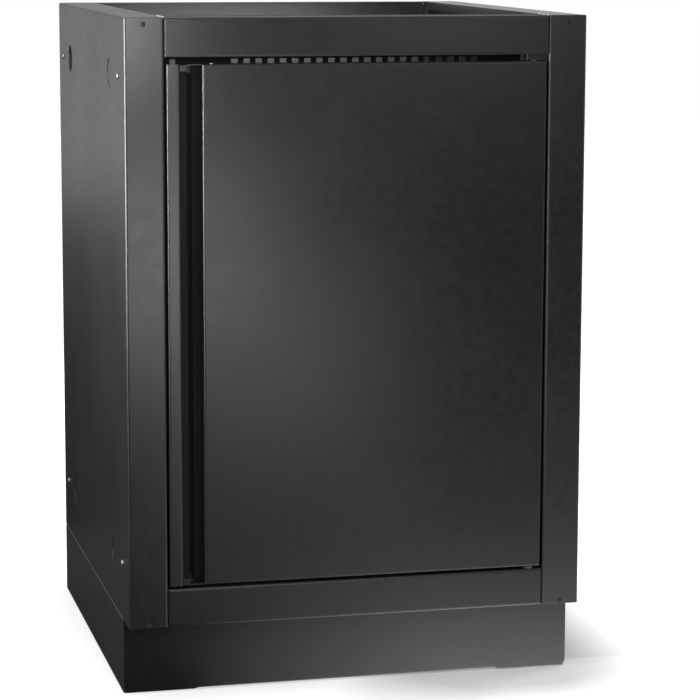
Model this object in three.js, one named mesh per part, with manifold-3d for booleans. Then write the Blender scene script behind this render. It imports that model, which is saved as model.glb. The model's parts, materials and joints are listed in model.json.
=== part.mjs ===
// Outdoor kitchen base cabinet: a carcass of folded powder-coated sheet on a recessed plinth, open at
// the top for a worktop, with one inset door. The door turns on two vertical pivots at its right
// edge and is pulled by a finger channel that runs the full height of its left edge.
// Millimetres, +Z up, front towards -Y, origin on the floor at the middle of the footprint.
import * as THREE from 'three';
import { mergeVertices } from 'three/addons/utils/BufferGeometryUtils.js';
import Module from 'manifold-3d';

// Driving sizes of the whole cabinet
const WIDTH = 610;
const DEPTH = 630;
const HEIGHT = 890;
const PLINTH_HEIGHT = 102;
const PLINTH_SETBACK = 51;
const STILE_WIDTH = 51;
const HEADER_HEIGHT = 51;
const RAIL_HEIGHT = 50;

// Sheet, folds and the clearance between pieces that touch
const SHEET = 2;
const BACK_SHEET = 1.7;
const THIN_SHEET = 1.5;
const FOLD_INSIDE = 1;
const FOLD_OUTSIDE = FOLD_INSIDE + SHEET;
const FOLD_LEG = 10;
const SEAT = 0.3;
const OVERRUN = 5;

// Flanges of the carcass
const STILE_RETURN = 25;
const REAR_FLANGE = 51;
const REAR_RETURN = 25;
const TOP_FLANGE = 51;
const TOP_LIP = 12;
const FOOT_FLANGE = 40;
const RAIL_FLANGE = 51;
const END_RETURN = 24;

// Door, its gaps and its finger channel
const DOOR_THICKNESS = 22;
const DOOR_GAP_SIDE = 3;
const DOOR_GAP_TOP = 8.5;
const DOOR_GAP_BOTTOM = 3.5;
const GRIP_STRIP = 17;
const CHANNEL_WIDTH = 29;
const CHANNEL_DEPTH = 14;
const CHANNEL_SLOT = 6;
const CHANNEL_LEDGE = 12.2;
const PIVOT_INSET = 15;
const PIVOT_SETBACK = 9;
const PIN_RADIUS = 4;
const PIVOT_BOSS_RADIUS = 5.6;

// Door stop behind the opening's top and bottom edges, and the vents that the top one carries
const STOP_GAP = 2.5;
const STOP_DROP = 24;
const STOP_RISE = 13;
const STOP_END_HANDLE = 3;
const STOP_END_PIVOT = 32;
const VENT_FROM_ENDS = 90;
const VENT_PITCH = 15.9;
const VENT_WIDTH = 9;
const VENT_HEIGHT = 13;
const VENT_TOP_EDGE = 3;
const LATCH_HOLE_WIDTH = 7.5;
const LATCH_HOLE_INSET = 15;

// Service holes in the sides
const SERVICE_RADIUS = 19;
const SERVICE_FROM_EDGE = 125;
const SERVICE_FROM_END = 76;

// Fasteners
const SCREW_RADIUS = 2.4;
const SCREW_LENGTH = 9;
const FACE_SCREW_RADIUS = 1.6;
const FACE_SCREW_HEAD = 2.9;
const FACE_SCREW_SINK = 1.4;
const FACE_SCREW_INSET = 25;
const FACE_SCREW_TOP = 9;
const FACE_SCREW_BOTTOM = 5.5;
const SIDE_SCREW_INSET = 51;

// Facets
const FOLD_STEPS = 3;
const ROUND_SIDES = 24;
const FACE_SCREW_SIDES = 16;
const SCREW_SIDES = 8;

// Faces that most pieces are set out from
const LEFT = -WIDTH / 2;
const RIGHT = WIDTH / 2;
const FRONT = -DEPTH / 2;
const BACK = DEPTH / 2;
const SIDE_BACK = BACK - BACK_SHEET - SEAT;
const OPENING_HALF = WIDTH / 2 - STILE_WIDTH;
const OPENING_TOP = HEIGHT - HEADER_HEIGHT;
const OPENING_BOTTOM = PLINTH_HEIGHT + RAIL_HEIGHT;
const RAIL_HALF = OPENING_HALF - SEAT;
const DOOR_HALF = OPENING_HALF - DOOR_GAP_SIDE;
const DOOR_TOP = OPENING_TOP - DOOR_GAP_TOP;
const DOOR_BOTTOM = OPENING_BOTTOM + DOOR_GAP_BOTTOM;
const DOOR_HEIGHT = DOOR_TOP - DOOR_BOTTOM;
const DOOR_BACK = FRONT + DOOR_THICKNESS;
const STOP_FACE = DOOR_BACK + STOP_GAP;
const PIVOT_X = DOOR_HALF - PIVOT_INSET;
const PIVOT_Y = FRONT + PIVOT_SETBACK;
const BORE_RADIUS = PIN_RADIUS + SEAT;
const KICK_FRONT = FRONT + PLINTH_SETBACK;
const KICK_TOP = PLINTH_HEIGHT - SEAT;

const wasm = await Module();
wasm.setup();

// A closed three.js geometry as a solid that can be joined and cut. Triangles with no area, such as
// those at the poles of a turned piece, are left out.
function solidOf(geometry) {
  geometry.deleteAttribute('normal');
  geometry.deleteAttribute('uv');
  const merged = mergeVertices(geometry);
  const corners = merged.index.array;
  const kept = corners.filter((_, i) => {
    const [a, b, c] = corners.slice(i - (i % 3), i - (i % 3) + 3);
    return a !== b && b !== c && c !== a;
  });
  return new wasm.Manifold(new wasm.Mesh({
    numProp: 3,
    vertProperties: merged.attributes.position.array,
    triVerts: kept,
  }));
}

// The same solid on the other side of the cabinet's middle plane.
function mirrored(body) {
  const mesh = body.getMesh();
  const points = mesh.vertProperties.map((value, i) => (i % 3 === 0 ? -value : value));
  const flipped = mesh.triVerts.map((_, i, corners) => corners[i + [1, -1, 0][i % 3]]);
  return new wasm.Manifold(new wasm.Mesh({ numProp: 3, vertProperties: points, triVerts: flipped }));
}

function joined(bodies) {
  return bodies.reduce((all, next) => all.add(next));
}

function cut(body, cutters) {
  return cutters.reduce((left, cutter) => left.subtract(cutter), body);
}

// Outline in (y, z), carried along X.
function alongX(outline, from, to) {
  return extruded(outline, from, to, [[0, 1, 0], [0, 0, 1], [1, 0, 0]], from);
}

// Outline in (x, z), carried along Y. The depth of the extrusion runs towards -Y, from the far end.
function alongY(outline, from, to) {
  return extruded(outline, from, to, [[1, 0, 0], [0, 0, 1], [0, -1, 0]], -to);
}

// Outline in (x, y), carried along Z.
function alongZ(outline, from, to) {
  return extruded(outline, from, to, [[1, 0, 0], [0, 1, 0], [0, 0, 1]], from);
}

function extruded(outline, from, to, axes, start) {
  const shape = new THREE.Shape(outline.map(([a, b]) => new THREE.Vector2(a, b)));
  const geometry = new THREE.ExtrudeGeometry(shape, { depth: to - from, bevelEnabled: false });
  geometry.translate(0, 0, start);
  geometry.applyMatrix4(new THREE.Matrix4().makeBasis(...axes.map((axis) => new THREE.Vector3(...axis))));
  return solidOf(geometry);
}

// Round bar on the door's pivot axis.
function aboutPivot(radius, from, to) {
  return alongZ(circle(PIVOT_X, PIVOT_Y, radius, ROUND_SIDES), from, to);
}

// Points of a circle, or of the part of it between two angles.
function circle(x, y, radius, sides = ROUND_SIDES) {
  return arc(x, y, radius, 0, 2 * Math.PI, sides).slice(1);
}

function arc(x, y, radius, start, sweep, steps) {
  return Array.from({ length: steps + 1 }, (_, i) => {
    const angle = start + (sweep * i) / steps;
    return [x + radius * Math.cos(angle), y + radius * Math.sin(angle)];
  });
}

function rectangle(x0, x1, y0, y1) {
  return [[x0, y0], [x1, y0], [x1, y1], [x0, y1]];
}

// A corner between two straight stretches: where it bends, which way, and the centre of its round.
function corner(before, point, after, radius) {
  const into = direction(before, point);
  const out = direction(point, after);
  const sweep = Math.atan2(into[0] * out[1] - into[1] * out[0], into[0] * out[0] + into[1] * out[1]);
  const side = Math.sign(sweep);
  const reach = (side * radius(side)) / (1 + into[0] * out[0] + into[1] * out[1]);
  return {
    side,
    sweep,
    centre: [point[0] - (into[1] + out[1]) * reach, point[1] + (into[0] + out[0]) * reach],
    start: Math.atan2(-side * into[0], side * into[1]),
  };
}

function direction([x0, y0], [x1, y1]) {
  const length = Math.hypot(x1 - x0, y1 - y0);
  return [(x1 - x0) / length, (y1 - y0) / length];
}

// A closed outline with some corners rounded. Each corner is [x, y] or [x, y, radius].
function rounded(corners) {
  return corners.flatMap(([x, y, radius], i) => {
    if (!radius) return [[x, y]];
    const before = corners[(i + corners.length - 1) % corners.length];
    const after = corners[(i + 1) % corners.length];
    const bend = corner(before, [x, y], after, () => radius);
    return arc(...bend.centre, radius, bend.start, bend.sweep, FOLD_STEPS);
  });
}

// Section of a sheet folded along a path. The path is one face of the sheet and the other face
// lies to its left. Each fold is round, with the same inside radius whichever way it turns.
function folded(path, thickness = SHEET) {
  const face = [];
  const back = [];
  path.forEach((point, i) => {
    if (i === 0 || i === path.length - 1) {
      const way = i === 0 ? direction(point, path[1]) : direction(path[i - 1], point);
      face.push(point);
      back.push([point[0] - way[1] * thickness, point[1] + way[0] * thickness]);
      return;
    }
    const radius = (side) => (side > 0 ? FOLD_INSIDE + thickness : FOLD_INSIDE);
    const bend = corner(path[i - 1], point, path[i + 1], radius);
    face.push(...arc(...bend.centre, radius(bend.side), bend.start, bend.sweep, FOLD_STEPS));
    back.push(...arc(...bend.centre, radius(-bend.side), bend.start, bend.sweep, FOLD_STEPS));
  });
  return [...face, ...back.reverse()];
}

// A tray with its flat sheet at z = 0 and flanges down from all four edges, open at the corners
// where the flanges' folds meet.
function tray(width, depth, drop, thickness) {
  const relief = FOLD_INSIDE + thickness;
  const section = (half) => folded([[half, -drop], [half, 0], [-half, 0], [-half, -drop]], thickness);
  const lengthwise = alongY(section(width / 2), relief - depth / 2, depth / 2 - relief);
  const crosswise = alongX(section(depth / 2), relief - width / 2, width / 2 - relief);
  return lengthwise.add(crosswise);
}

// A turned piece about the Z axis from [radius, z] points that start and end on the axis.
function turned(profile, sides = ROUND_SIDES) {
  return solidOf(new THREE.LatheGeometry(profile.map(([r, z]) => new THREE.Vector2(r, z)), sides)
    .rotateX(Math.PI / 2));
}

// Copies of one solid at a list of [x, y, z] places, with its own +Z pointing the way of the turn.
const TOWARDS_FRONT = [Math.PI / 2, 0, 0];
const TOWARDS_BACK = [-Math.PI / 2, 0, 0];
const TOWARDS_LEFT = [0, -Math.PI / 2, 0];
const TOWARDS_RIGHT = [0, Math.PI / 2, 0];

function placed(body, places, turn = [0, 0, 0]) {
  const axes = new THREE.Matrix4().makeRotationFromEuler(new THREE.Euler(...turn));
  return joined(places.map((place) => moved(body, axes.clone().setPosition(...place))));
}

function moved(body, matrix) {
  const { vertProperties, triVerts } = body.getMesh();
  const points = new THREE.BufferAttribute(new Float32Array(vertProperties), 3).applyMatrix4(matrix);
  return new wasm.Manifold(new wasm.Mesh({ numProp: 3, vertProperties: points.array, triVerts }));
}

const COAT = { color: 0x3a3b3d, roughness: 0.55, metalness: 0.35 };
const COAT_INSIDE = { color: 0x343537, roughness: 0.6, metalness: 0.3 };
const STEEL = { color: 0xa9abad, roughness: 0.35, metalness: 0.95 };
const NYLON = { color: 0x18191a, roughness: 0.6, metalness: 0 };
const RUBBER = { color: 0x101112, roughness: 0.85, metalness: 0 };
const MAGNET = { color: 0x4a4c50, roughness: 0.4, metalness: 0.8 };

// A named mesh with its own material from a solid.
function piece(name, body, finish, place = [0, 0, 0], turn = [0, 0, 0]) {
  const { vertProperties, triVerts } = body.getMesh();
  const geometry = new THREE.BufferGeometry();
  geometry.setAttribute('position', new THREE.BufferAttribute(new Float32Array(vertProperties), 3));
  geometry.setIndex(new THREE.BufferAttribute(new Uint32Array(triVerts), 1));
  geometry.computeVertexNormals();
  const mesh = new THREE.Mesh(geometry, new THREE.MeshStandardMaterial(finish));
  mesh.name = name;
  mesh.position.set(...place);
  mesh.rotation.set(...turn);
  return mesh;
}

// Heights of the two rows of service holes and of the screws beside them
const SERVICE_LEVELS = [PLINTH_HEIGHT + SERVICE_FROM_END, HEIGHT - SERVICE_FROM_END];
const SERVICE_DEPTHS = [FRONT + SERVICE_FROM_EDGE, BACK - SERVICE_FROM_EDGE];
const SIDE_SCREW_DEPTHS = [FRONT + SIDE_SCREW_INSET, BACK - SIDE_SCREW_INSET];
const FACE_SCREW_LEVELS = [PLINTH_HEIGHT + FACE_SCREW_BOTTOM, HEIGHT - FACE_SCREW_TOP];
const SCREW_HOLE_RADIUS = SCREW_RADIUS + SEAT;

// Bolts that draw the ends of the header and the rail to the stiles
const BOLT_SETBACK = 15;
const BOLT_LEVELS = [PLINTH_HEIGHT + RAIL_HEIGHT / 2, HEIGHT - HEADER_HEIGHT / 2];

function boltHole(level) {
  const hole = circle(FRONT + BOLT_SETBACK, level, SCREW_HOLE_RADIUS, SCREW_SIDES);
  return alongX(hole, -OPENING_HALF - SHEET - OVERRUN, OVERRUN - OPENING_HALF);
}

// Countersunk screw whose head ends level with z = 0, and the hole that it sits in.
const SOCKET_RADIUS = 1.3;
const SOCKET_DEPTH = 0.9;
const COUNTERSINK_GAP = 0.4;

function screw() {
  return turned([
    [0, -SCREW_LENGTH],
    [FACE_SCREW_RADIUS, -SCREW_LENGTH],
    [FACE_SCREW_RADIUS, -FACE_SCREW_SINK],
    [FACE_SCREW_HEAD, 0],
    [SOCKET_RADIUS, 0],
    [SOCKET_RADIUS, -SOCKET_DEPTH],
    [0, -SOCKET_DEPTH],
  ], FACE_SCREW_SIDES);
}

function countersink(x, z) {
  const hole = turned([
    [0, -SCREW_LENGTH],
    [FACE_SCREW_RADIUS + COUNTERSINK_GAP, -SCREW_LENGTH],
    [FACE_SCREW_RADIUS + COUNTERSINK_GAP, -FACE_SCREW_SINK],
    [FACE_SCREW_HEAD + COUNTERSINK_GAP, 0],
    [FACE_SCREW_HEAD + COUNTERSINK_GAP, OVERRUN],
    [0, OVERRUN],
  ], FACE_SCREW_SIDES);
  return placed(hole, [[x, FRONT, z]], TOWARDS_FRONT);
}

// Screws that hold the carcass down on the plinth
const PLINTH_SCREW_INSET = 20;
const PLINTH_SCREW_SHARES = [-0.32, 0, 0.32];
const PLINTH_SCREW_DEPTHS = PLINTH_SCREW_SHARES.map((share) => share * DEPTH);

function plinthScrewHole(y) {
  const hole = circle(LEFT + PLINTH_SCREW_INSET, y, SCREW_HOLE_RADIUS, SCREW_SIDES);
  return alongZ(hole, KICK_TOP - SHEET - OVERRUN, PLINTH_HEIGHT + SHEET + OVERRUN);
}

// Side of the carcass: one sheet wrapped round the front as the stile and round the back as a
// flange, with a flange in at the top for the worktop and one at the foot for the plinth.
function sidePanel() {
  const stileEdge = LEFT + STILE_WIDTH;
  const rearEdge = LEFT + REAR_FLANGE;
  const topEdge = LEFT + TOP_FLANGE;
  const wrap = alongZ(folded([
    [rearEdge, SIDE_BACK - REAR_RETURN],
    [rearEdge, SIDE_BACK],
    [LEFT, SIDE_BACK],
    [LEFT, FRONT],
    [stileEdge, FRONT],
    [stileEdge, FRONT + STILE_RETURN],
  ]), PLINTH_HEIGHT, HEIGHT - SHEET / 2);
  const topFlange = alongY(
    folded([[topEdge, HEIGHT], [LEFT, HEIGHT], [LEFT, HEIGHT - FOLD_LEG]]),
    FRONT,
    SIDE_BACK,
  );
  const plan = alongZ(rounded([
    [LEFT, FRONT, FOLD_OUTSIDE],
    [topEdge, FRONT],
    [topEdge, SIDE_BACK],
    [LEFT, SIDE_BACK, FOLD_OUTSIDE],
  ]), PLINTH_HEIGHT, HEIGHT);
  const section = alongY(rounded([
    [LEFT, PLINTH_HEIGHT],
    [topEdge, PLINTH_HEIGHT],
    [topEdge, HEIGHT],
    [LEFT, HEIGHT, FOLD_OUTSIDE],
  ]), FRONT, SIDE_BACK);
  const lip = alongY(
    folded([[topEdge, HEIGHT - TOP_LIP], [topEdge, HEIGHT], [topEdge - FOLD_LEG, HEIGHT]]),
    FRONT + STILE_RETURN + FOLD_OUTSIDE,
    SIDE_BACK - REAR_RETURN - FOLD_OUTSIDE,
  );
  const foot = alongY(
    rectangle(LEFT + SHEET / 2, LEFT + FOOT_FLANGE, PLINTH_HEIGHT, PLINTH_HEIGHT + SHEET),
    FRONT + FOLD_OUTSIDE,
    SIDE_BACK - FOLD_OUTSIDE,
  );
  const through = (radius, y, z, sides) =>
    alongX(circle(y, z, radius, sides), LEFT - OVERRUN, LEFT + SHEET + OVERRUN);
  const holes = SERVICE_LEVELS.flatMap((z) => [
    ...SERVICE_DEPTHS.map((y) => through(SERVICE_RADIUS, y, z, ROUND_SIDES)),
    ...SIDE_SCREW_DEPTHS.map((y) => through(SCREW_HOLE_RADIUS, y, z, SCREW_SIDES)),
  ]);
  const faceHoles = FACE_SCREW_LEVELS.map((z) => countersink(LEFT + FACE_SCREW_INSET, z));
  return cut(joined([wrap, topFlange, lip, foot]).intersect(plan).intersect(section), [
    ...holes,
    ...faceHoles,
    ...PLINTH_SCREW_DEPTHS.map(plinthScrewHole),
    ...BOLT_LEVELS.map(boltHole),
    ...BACK_SCREW_LEVELS.map((z) => rearScrewHole(-BACK_SCREW_X, z)),
  ]);
}

// Plan of a cross member between the stiles, with its two front edges rounded as folds.
function memberPlan(bottom, top) {
  return alongZ(rounded([
    [-RAIL_HALF, FRONT, FOLD_OUTSIDE],
    [RAIL_HALF, FRONT, FOLD_OUTSIDE],
    [RAIL_HALF, FRONT + RAIL_FLANGE],
    [-RAIL_HALF, FRONT + RAIL_FLANGE],
  ]), bottom, top);
}

// End of a cross member, folded back along the stile's return and bolted to it.
function endReturn(bottom, top) {
  const fold = folded([
    [-RAIL_HALF, FRONT + END_RETURN],
    [-RAIL_HALF, FRONT],
    [FOLD_LEG - RAIL_HALF, FRONT],
  ]);
  return alongZ(fold, bottom + FOLD_OUTSIDE, top - FOLD_OUTSIDE);
}

// Magnetic catch behind the header's stop
const CATCH_FROM_STILE = 54;
const CATCH_WIDTH = 44;
const CATCH_DEPTH = 14;
const CATCH_SCREW_REACH = 17;
const CATCH_X = CATCH_FROM_STILE - OPENING_HALF;
const CATCH_BACK_FACE = STOP_FACE + SHEET + SEAT;
const CATCH_TOP = OPENING_TOP - FOLD_OUTSIDE - SEAT;
const CATCH_SCREW_LEVEL = OPENING_TOP - (STOP_DROP + FOLD_OUTSIDE) / 2;
const CATCH_SCREWS = [CATCH_X - CATCH_SCREW_REACH, CATCH_X + CATCH_SCREW_REACH];

function catchScrewHoles() {
  return CATCH_SCREWS.map((x) => alongY(
    circle(x, CATCH_SCREW_LEVEL, SCREW_HOLE_RADIUS, SCREW_SIDES),
    STOP_FACE - OVERRUN,
    CATCH_BACK_FACE + CATCH_DEPTH + OVERRUN,
  ));
}

// Header over the door: a channel whose lower flange turns down behind the door as its stop. The
// stop is pierced with vents that open into the gap over the door.
function header() {
  const channel = alongX(folded([
    [FRONT + RAIL_FLANGE, HEIGHT - TOP_LIP],
    [FRONT + RAIL_FLANGE, HEIGHT],
    [FRONT, HEIGHT],
    [FRONT, OPENING_TOP],
    [STOP_FACE - FOLD_LEG / 2, OPENING_TOP],
  ]), -RAIL_HALF, RAIL_HALF);
  const stop = alongX(
    folded([
      [STOP_FACE - FOLD_LEG, OPENING_TOP],
      [STOP_FACE, OPENING_TOP],
      [STOP_FACE, OPENING_TOP - STOP_DROP],
    ]),
    STOP_END_HANDLE - OPENING_HALF,
    OPENING_HALF - STOP_END_PIVOT,
  );
  const ventTop = OPENING_TOP - VENT_TOP_EDGE;
  const vent = (x, width) => alongY(
    rectangle(x - width / 2, x + width / 2, ventTop - VENT_HEIGHT, ventTop),
    STOP_FACE - OVERRUN,
    STOP_FACE + SHEET + OVERRUN,
  );
  const each = Math.floor((OPENING_HALF - VENT_FROM_ENDS) / VENT_PITCH);
  const vents = Array.from({ length: 2 * each + 1 }, (_, i) => vent((i - each) * VENT_PITCH, VENT_WIDTH));
  const latchHole = vent(LATCH_HOLE_INSET - OPENING_HALF, LATCH_HOLE_WIDTH);
  const pivotHole = aboutPivot(
    PIVOT_BOSS_RADIUS + SEAT,
    OPENING_TOP - OVERRUN,
    OPENING_TOP + SHEET + OVERRUN,
  );
  const end = endReturn(OPENING_TOP, HEIGHT);
  const bolt = boltHole(BOLT_LEVELS[1]);
  const body = joined([channel.intersect(memberPlan(OPENING_TOP, HEIGHT)), stop, end, mirrored(end)]);
  return cut(body, [...vents, latchHole, pivotHole, bolt, mirrored(bolt), ...catchScrewHoles()]);
}

// Rail under the door: the same channel turned over, with a low stop that stands up behind the door.
function bottomRail() {
  const channel = alongX(folded([
    [STOP_FACE - FOLD_LEG / 2, OPENING_BOTTOM],
    [FRONT, OPENING_BOTTOM],
    [FRONT, PLINTH_HEIGHT],
    [FRONT + RAIL_FLANGE, PLINTH_HEIGHT],
  ]), -RAIL_HALF, RAIL_HALF);
  const stop = alongX(
    folded([
      [STOP_FACE, OPENING_BOTTOM + STOP_RISE],
      [STOP_FACE, OPENING_BOTTOM],
      [STOP_FACE - FOLD_LEG, OPENING_BOTTOM],
    ]),
    STOP_END_HANDLE - OPENING_HALF,
    OPENING_HALF - STOP_END_PIVOT,
  );
  const pivotHole = aboutPivot(BORE_RADIUS, OPENING_BOTTOM - SHEET - OVERRUN, OPENING_BOTTOM + OVERRUN);
  const end = endReturn(PLINTH_HEIGHT, OPENING_BOTTOM);
  const bolt = boltHole(BOLT_LEVELS[0]);
  const plan = memberPlan(PLINTH_HEIGHT, OPENING_BOTTOM);
  const body = joined([channel.intersect(plan), stop, end, mirrored(end)]);
  return cut(body, [pivotHole, bolt, mirrored(bolt)]);
}

// Cross member at the back: a channel open to the front between the side panels' rear returns.
function rearRail(bottom, top, screwLevel) {
  const front = SIDE_BACK - REAR_RETURN;
  const half = WIDTH / 2 - REAR_FLANGE - SEAT;
  const channel = alongX(folded([
    [front, bottom],
    [SIDE_BACK, bottom],
    [SIDE_BACK, top],
    [front, top],
  ]), -half, half);
  return cut(channel, [rearScrewHole(0, screwLevel)]);
}

// Back panel: a flat sheet screwed over the rear flanges, with a row of vent slots above and below.
const BACK_MARGIN = 8;
const BACK_CORNER = 4;
const BACK_SCREW_INSET = 25;
const BACK_VENT_FROM_SIDES = 125;
const BACK_VENT_PITCH = 42;
const BACK_VENT_WIDTH = 6;
const BACK_VENT_HEIGHT = 36;
const BACK_VENT_FROM_END = 140;

const BACK_SCREW_X = WIDTH / 2 - BACK_SCREW_INSET;
const BACK_SCREW_LEVELS = [BOLT_LEVELS[0], (BOLT_LEVELS[0] + BOLT_LEVELS[1]) / 2, BOLT_LEVELS[1]];
const BACK_SCREWS = [
  ...BACK_SCREW_LEVELS.flatMap((z) => [[-BACK_SCREW_X, z], [BACK_SCREW_X, z]]),
  [0, BOLT_LEVELS[0]],
  [0, BOLT_LEVELS[1]],
];

function rearScrewHole(x, z) {
  return alongY(circle(x, z, SCREW_HOLE_RADIUS, SCREW_SIDES), SIDE_BACK - SHEET - OVERRUN, BACK + OVERRUN);
}

function backPanel() {
  const half = WIDTH / 2 - BACK_MARGIN;
  const bottom = PLINTH_HEIGHT + BACK_MARGIN / 2;
  const top = HEIGHT - BACK_MARGIN / 2;
  const sheet = alongY(rounded([
    [-half, bottom, BACK_CORNER],
    [half, bottom, BACK_CORNER],
    [half, top, BACK_CORNER],
    [-half, top, BACK_CORNER],
  ]), BACK - BACK_SHEET, BACK);
  const reach = [BACK - BACK_SHEET - OVERRUN, BACK + OVERRUN];
  const each = Math.floor((half - BACK_VENT_FROM_SIDES) / BACK_VENT_PITCH);
  const slot = (x, z) => alongY(rounded([
    [x - BACK_VENT_WIDTH / 2, z - BACK_VENT_HEIGHT / 2, BACK_VENT_WIDTH / 2],
    [x + BACK_VENT_WIDTH / 2, z - BACK_VENT_HEIGHT / 2, BACK_VENT_WIDTH / 2],
    [x + BACK_VENT_WIDTH / 2, z + BACK_VENT_HEIGHT / 2, BACK_VENT_WIDTH / 2],
    [x - BACK_VENT_WIDTH / 2, z + BACK_VENT_HEIGHT / 2, BACK_VENT_WIDTH / 2],
  ]), ...reach);
  const levels = [PLINTH_HEIGHT + BACK_VENT_FROM_END, HEIGHT - BACK_VENT_FROM_END];
  const slots = levels.flatMap((z) =>
    Array.from({ length: 2 * each + 1 }, (_, i) => slot((i - each) * BACK_VENT_PITCH, z)));
  return cut(sheet, [...slots, ...BACK_SCREWS.map(([x, z]) => rearScrewHole(x, z))]);
}

// Floor tray, level with the rail's upper edge, standing on the side panels' foot flanges.
const FLOOR_FRONT = STOP_FACE + SHEET + SEAT;
const FLOOR_BACK = SIDE_BACK - REAR_RETURN - SEAT;
const INSIDE_HALF = WIDTH / 2 - SHEET - SEAT;
const FLOOR_DROP = OPENING_BOTTOM - PLINTH_HEIGHT - SHEET - SEAT;

function floorTray() {
  return tray(2 * INSIDE_HALF, FLOOR_BACK - FLOOR_FRONT, FLOOR_DROP, SHEET);
}

// Shelf standards: channels up the side panels whose slotted webs face the shelf.
const STANDARD_WIDTH = 16;
const STANDARD_DEPTH = 6;
const STANDARD_SHEET = 1.2;
const STANDARD_PITCH = 40;
const STANDARD_LIFT = 68;
const STANDARD_SLOT_HALF = 3;
const STANDARD_SLOT_HEIGHT = 3.6;
const STANDARD_FROM_EDGE = 75;
const STANDARD_BOTTOM = OPENING_BOTTOM + STANDARD_LIFT;
const STANDARD_SLOTS = Math.floor((OPENING_TOP - STANDARD_LIFT - STANDARD_BOTTOM) / STANDARD_PITCH);
const STANDARD_DEPTHS = [FRONT + STANDARD_FROM_EDGE, BACK - STANDARD_FROM_EDGE];
const SHELF_LEVEL = slotLevel(Math.floor((STANDARD_SLOTS - 1) / 2));

function slotLevel(index) {
  return STANDARD_BOTTOM + (index + 1 / 2) * STANDARD_PITCH;
}

function shelfStandard() {
  const half = STANDARD_WIDTH / 2;
  const channel = alongZ(
    folded([[0, -half], [STANDARD_DEPTH, -half], [STANDARD_DEPTH, half], [0, half]], STANDARD_SHEET),
    STANDARD_BOTTOM,
    STANDARD_BOTTOM + STANDARD_SLOTS * STANDARD_PITCH,
  );
  const slots = Array.from({ length: STANDARD_SLOTS }, (_, i) => {
    const z = slotLevel(i);
    const edge = STANDARD_SLOT_HEIGHT / 2;
    const outline = rectangle(-STANDARD_SLOT_HALF, STANDARD_SLOT_HALF, z - edge, z + edge);
    return alongX(outline, STANDARD_DEPTH - STANDARD_SHEET - SEAT, STANDARD_DEPTH + OVERRUN);
  });
  return cut(channel, slots);
}

// Clip: a leg on the standard's face, a ledge under the shelf's flange, and a tongue that hooks
// down behind the web through one of the slots.
const CLIP_WIDTH = 12;
const CLIP_LEDGE = 18;
const CLIP_RISE = 5;
const CLIP_TONGUE_HALF = 2.4;
const CLIP_TONGUE_RISE = 1.2;
const CLIP_HOOK_DROP = 2.2;
const CLIP_HOOK_THICKNESS = 1.2;
const SHELF_DROP = 22;
const SHELF_INSET = 28;
const SHELF_CLEARANCE = 1.2;
const SHELF_HALF = INSIDE_HALF - STANDARD_DEPTH - SEAT - THIN_SHEET - SHELF_CLEARANCE;
const CLIP_BOTTOM = SHELF_LEVEL - SHELF_DROP - SEAT - THIN_SHEET;

function shelfClip() {
  const leg = STANDARD_DEPTH + SEAT;
  const bracket = alongY(
    folded([[leg, SHELF_LEVEL + CLIP_RISE], [leg, CLIP_BOTTOM], [leg + CLIP_LEDGE, CLIP_BOTTOM]], THIN_SHEET),
    -CLIP_WIDTH / 2,
    CLIP_WIDTH / 2,
  );
  const hookFace = STANDARD_DEPTH - STANDARD_SHEET - SEAT;
  const hookBack = hookFace - CLIP_HOOK_THICKNESS;
  const top = SHELF_LEVEL + CLIP_TONGUE_RISE;
  const foot = SHELF_LEVEL - CLIP_TONGUE_RISE;
  const tongue = alongY([
    [leg + THIN_SHEET / 2, top],
    [hookBack, top],
    [hookBack, foot - CLIP_HOOK_DROP],
    [hookFace, foot - CLIP_HOOK_DROP],
    [hookFace, foot],
    [leg + THIN_SHEET / 2, foot],
  ], -CLIP_TONGUE_HALF, CLIP_TONGUE_HALF);
  return bracket.add(tongue);
}

function shelf() {
  return tray(2 * SHELF_HALF, FLOOR_BACK - FLOOR_FRONT - 2 * SHELF_INSET, SHELF_DROP, THIN_SHEET);
}

// Plinth side: one sheet with a short return at the back, a long one behind the kick plate, and a
// flange in at the top that the side panel's foot flange stands on.
const KICK_LIFT = 1;
const KICK_PLATE_LIFT = 2.5;
const KICK_WRAP = 96;
const KICK_REAR_RETURN = 25;
const KICK_PLATE_FLANGE = 22;
const KICK_PLATE_HEM = 12;
const KICK_CORNER_CUT = 4.5;
const KICK_INSIDE = KICK_FRONT + SHEET + SEAT;

function plinthSide() {
  const wrap = alongZ(folded([
    [LEFT + KICK_REAR_RETURN, SIDE_BACK],
    [LEFT, SIDE_BACK],
    [LEFT, KICK_INSIDE],
    [LEFT + KICK_WRAP, KICK_INSIDE],
  ]), KICK_LIFT, KICK_TOP - FOLD_OUTSIDE);
  const flange = alongY(
    folded([[LEFT + FOOT_FLANGE, KICK_TOP], [LEFT, KICK_TOP], [LEFT, KICK_TOP - FOLD_LEG]]),
    KICK_INSIDE + FOLD_OUTSIDE,
    SIDE_BACK - FOLD_OUTSIDE,
  );
  return cut(wrap.add(flange), PLINTH_SCREW_DEPTHS.map(plinthScrewHole));
}

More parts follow.
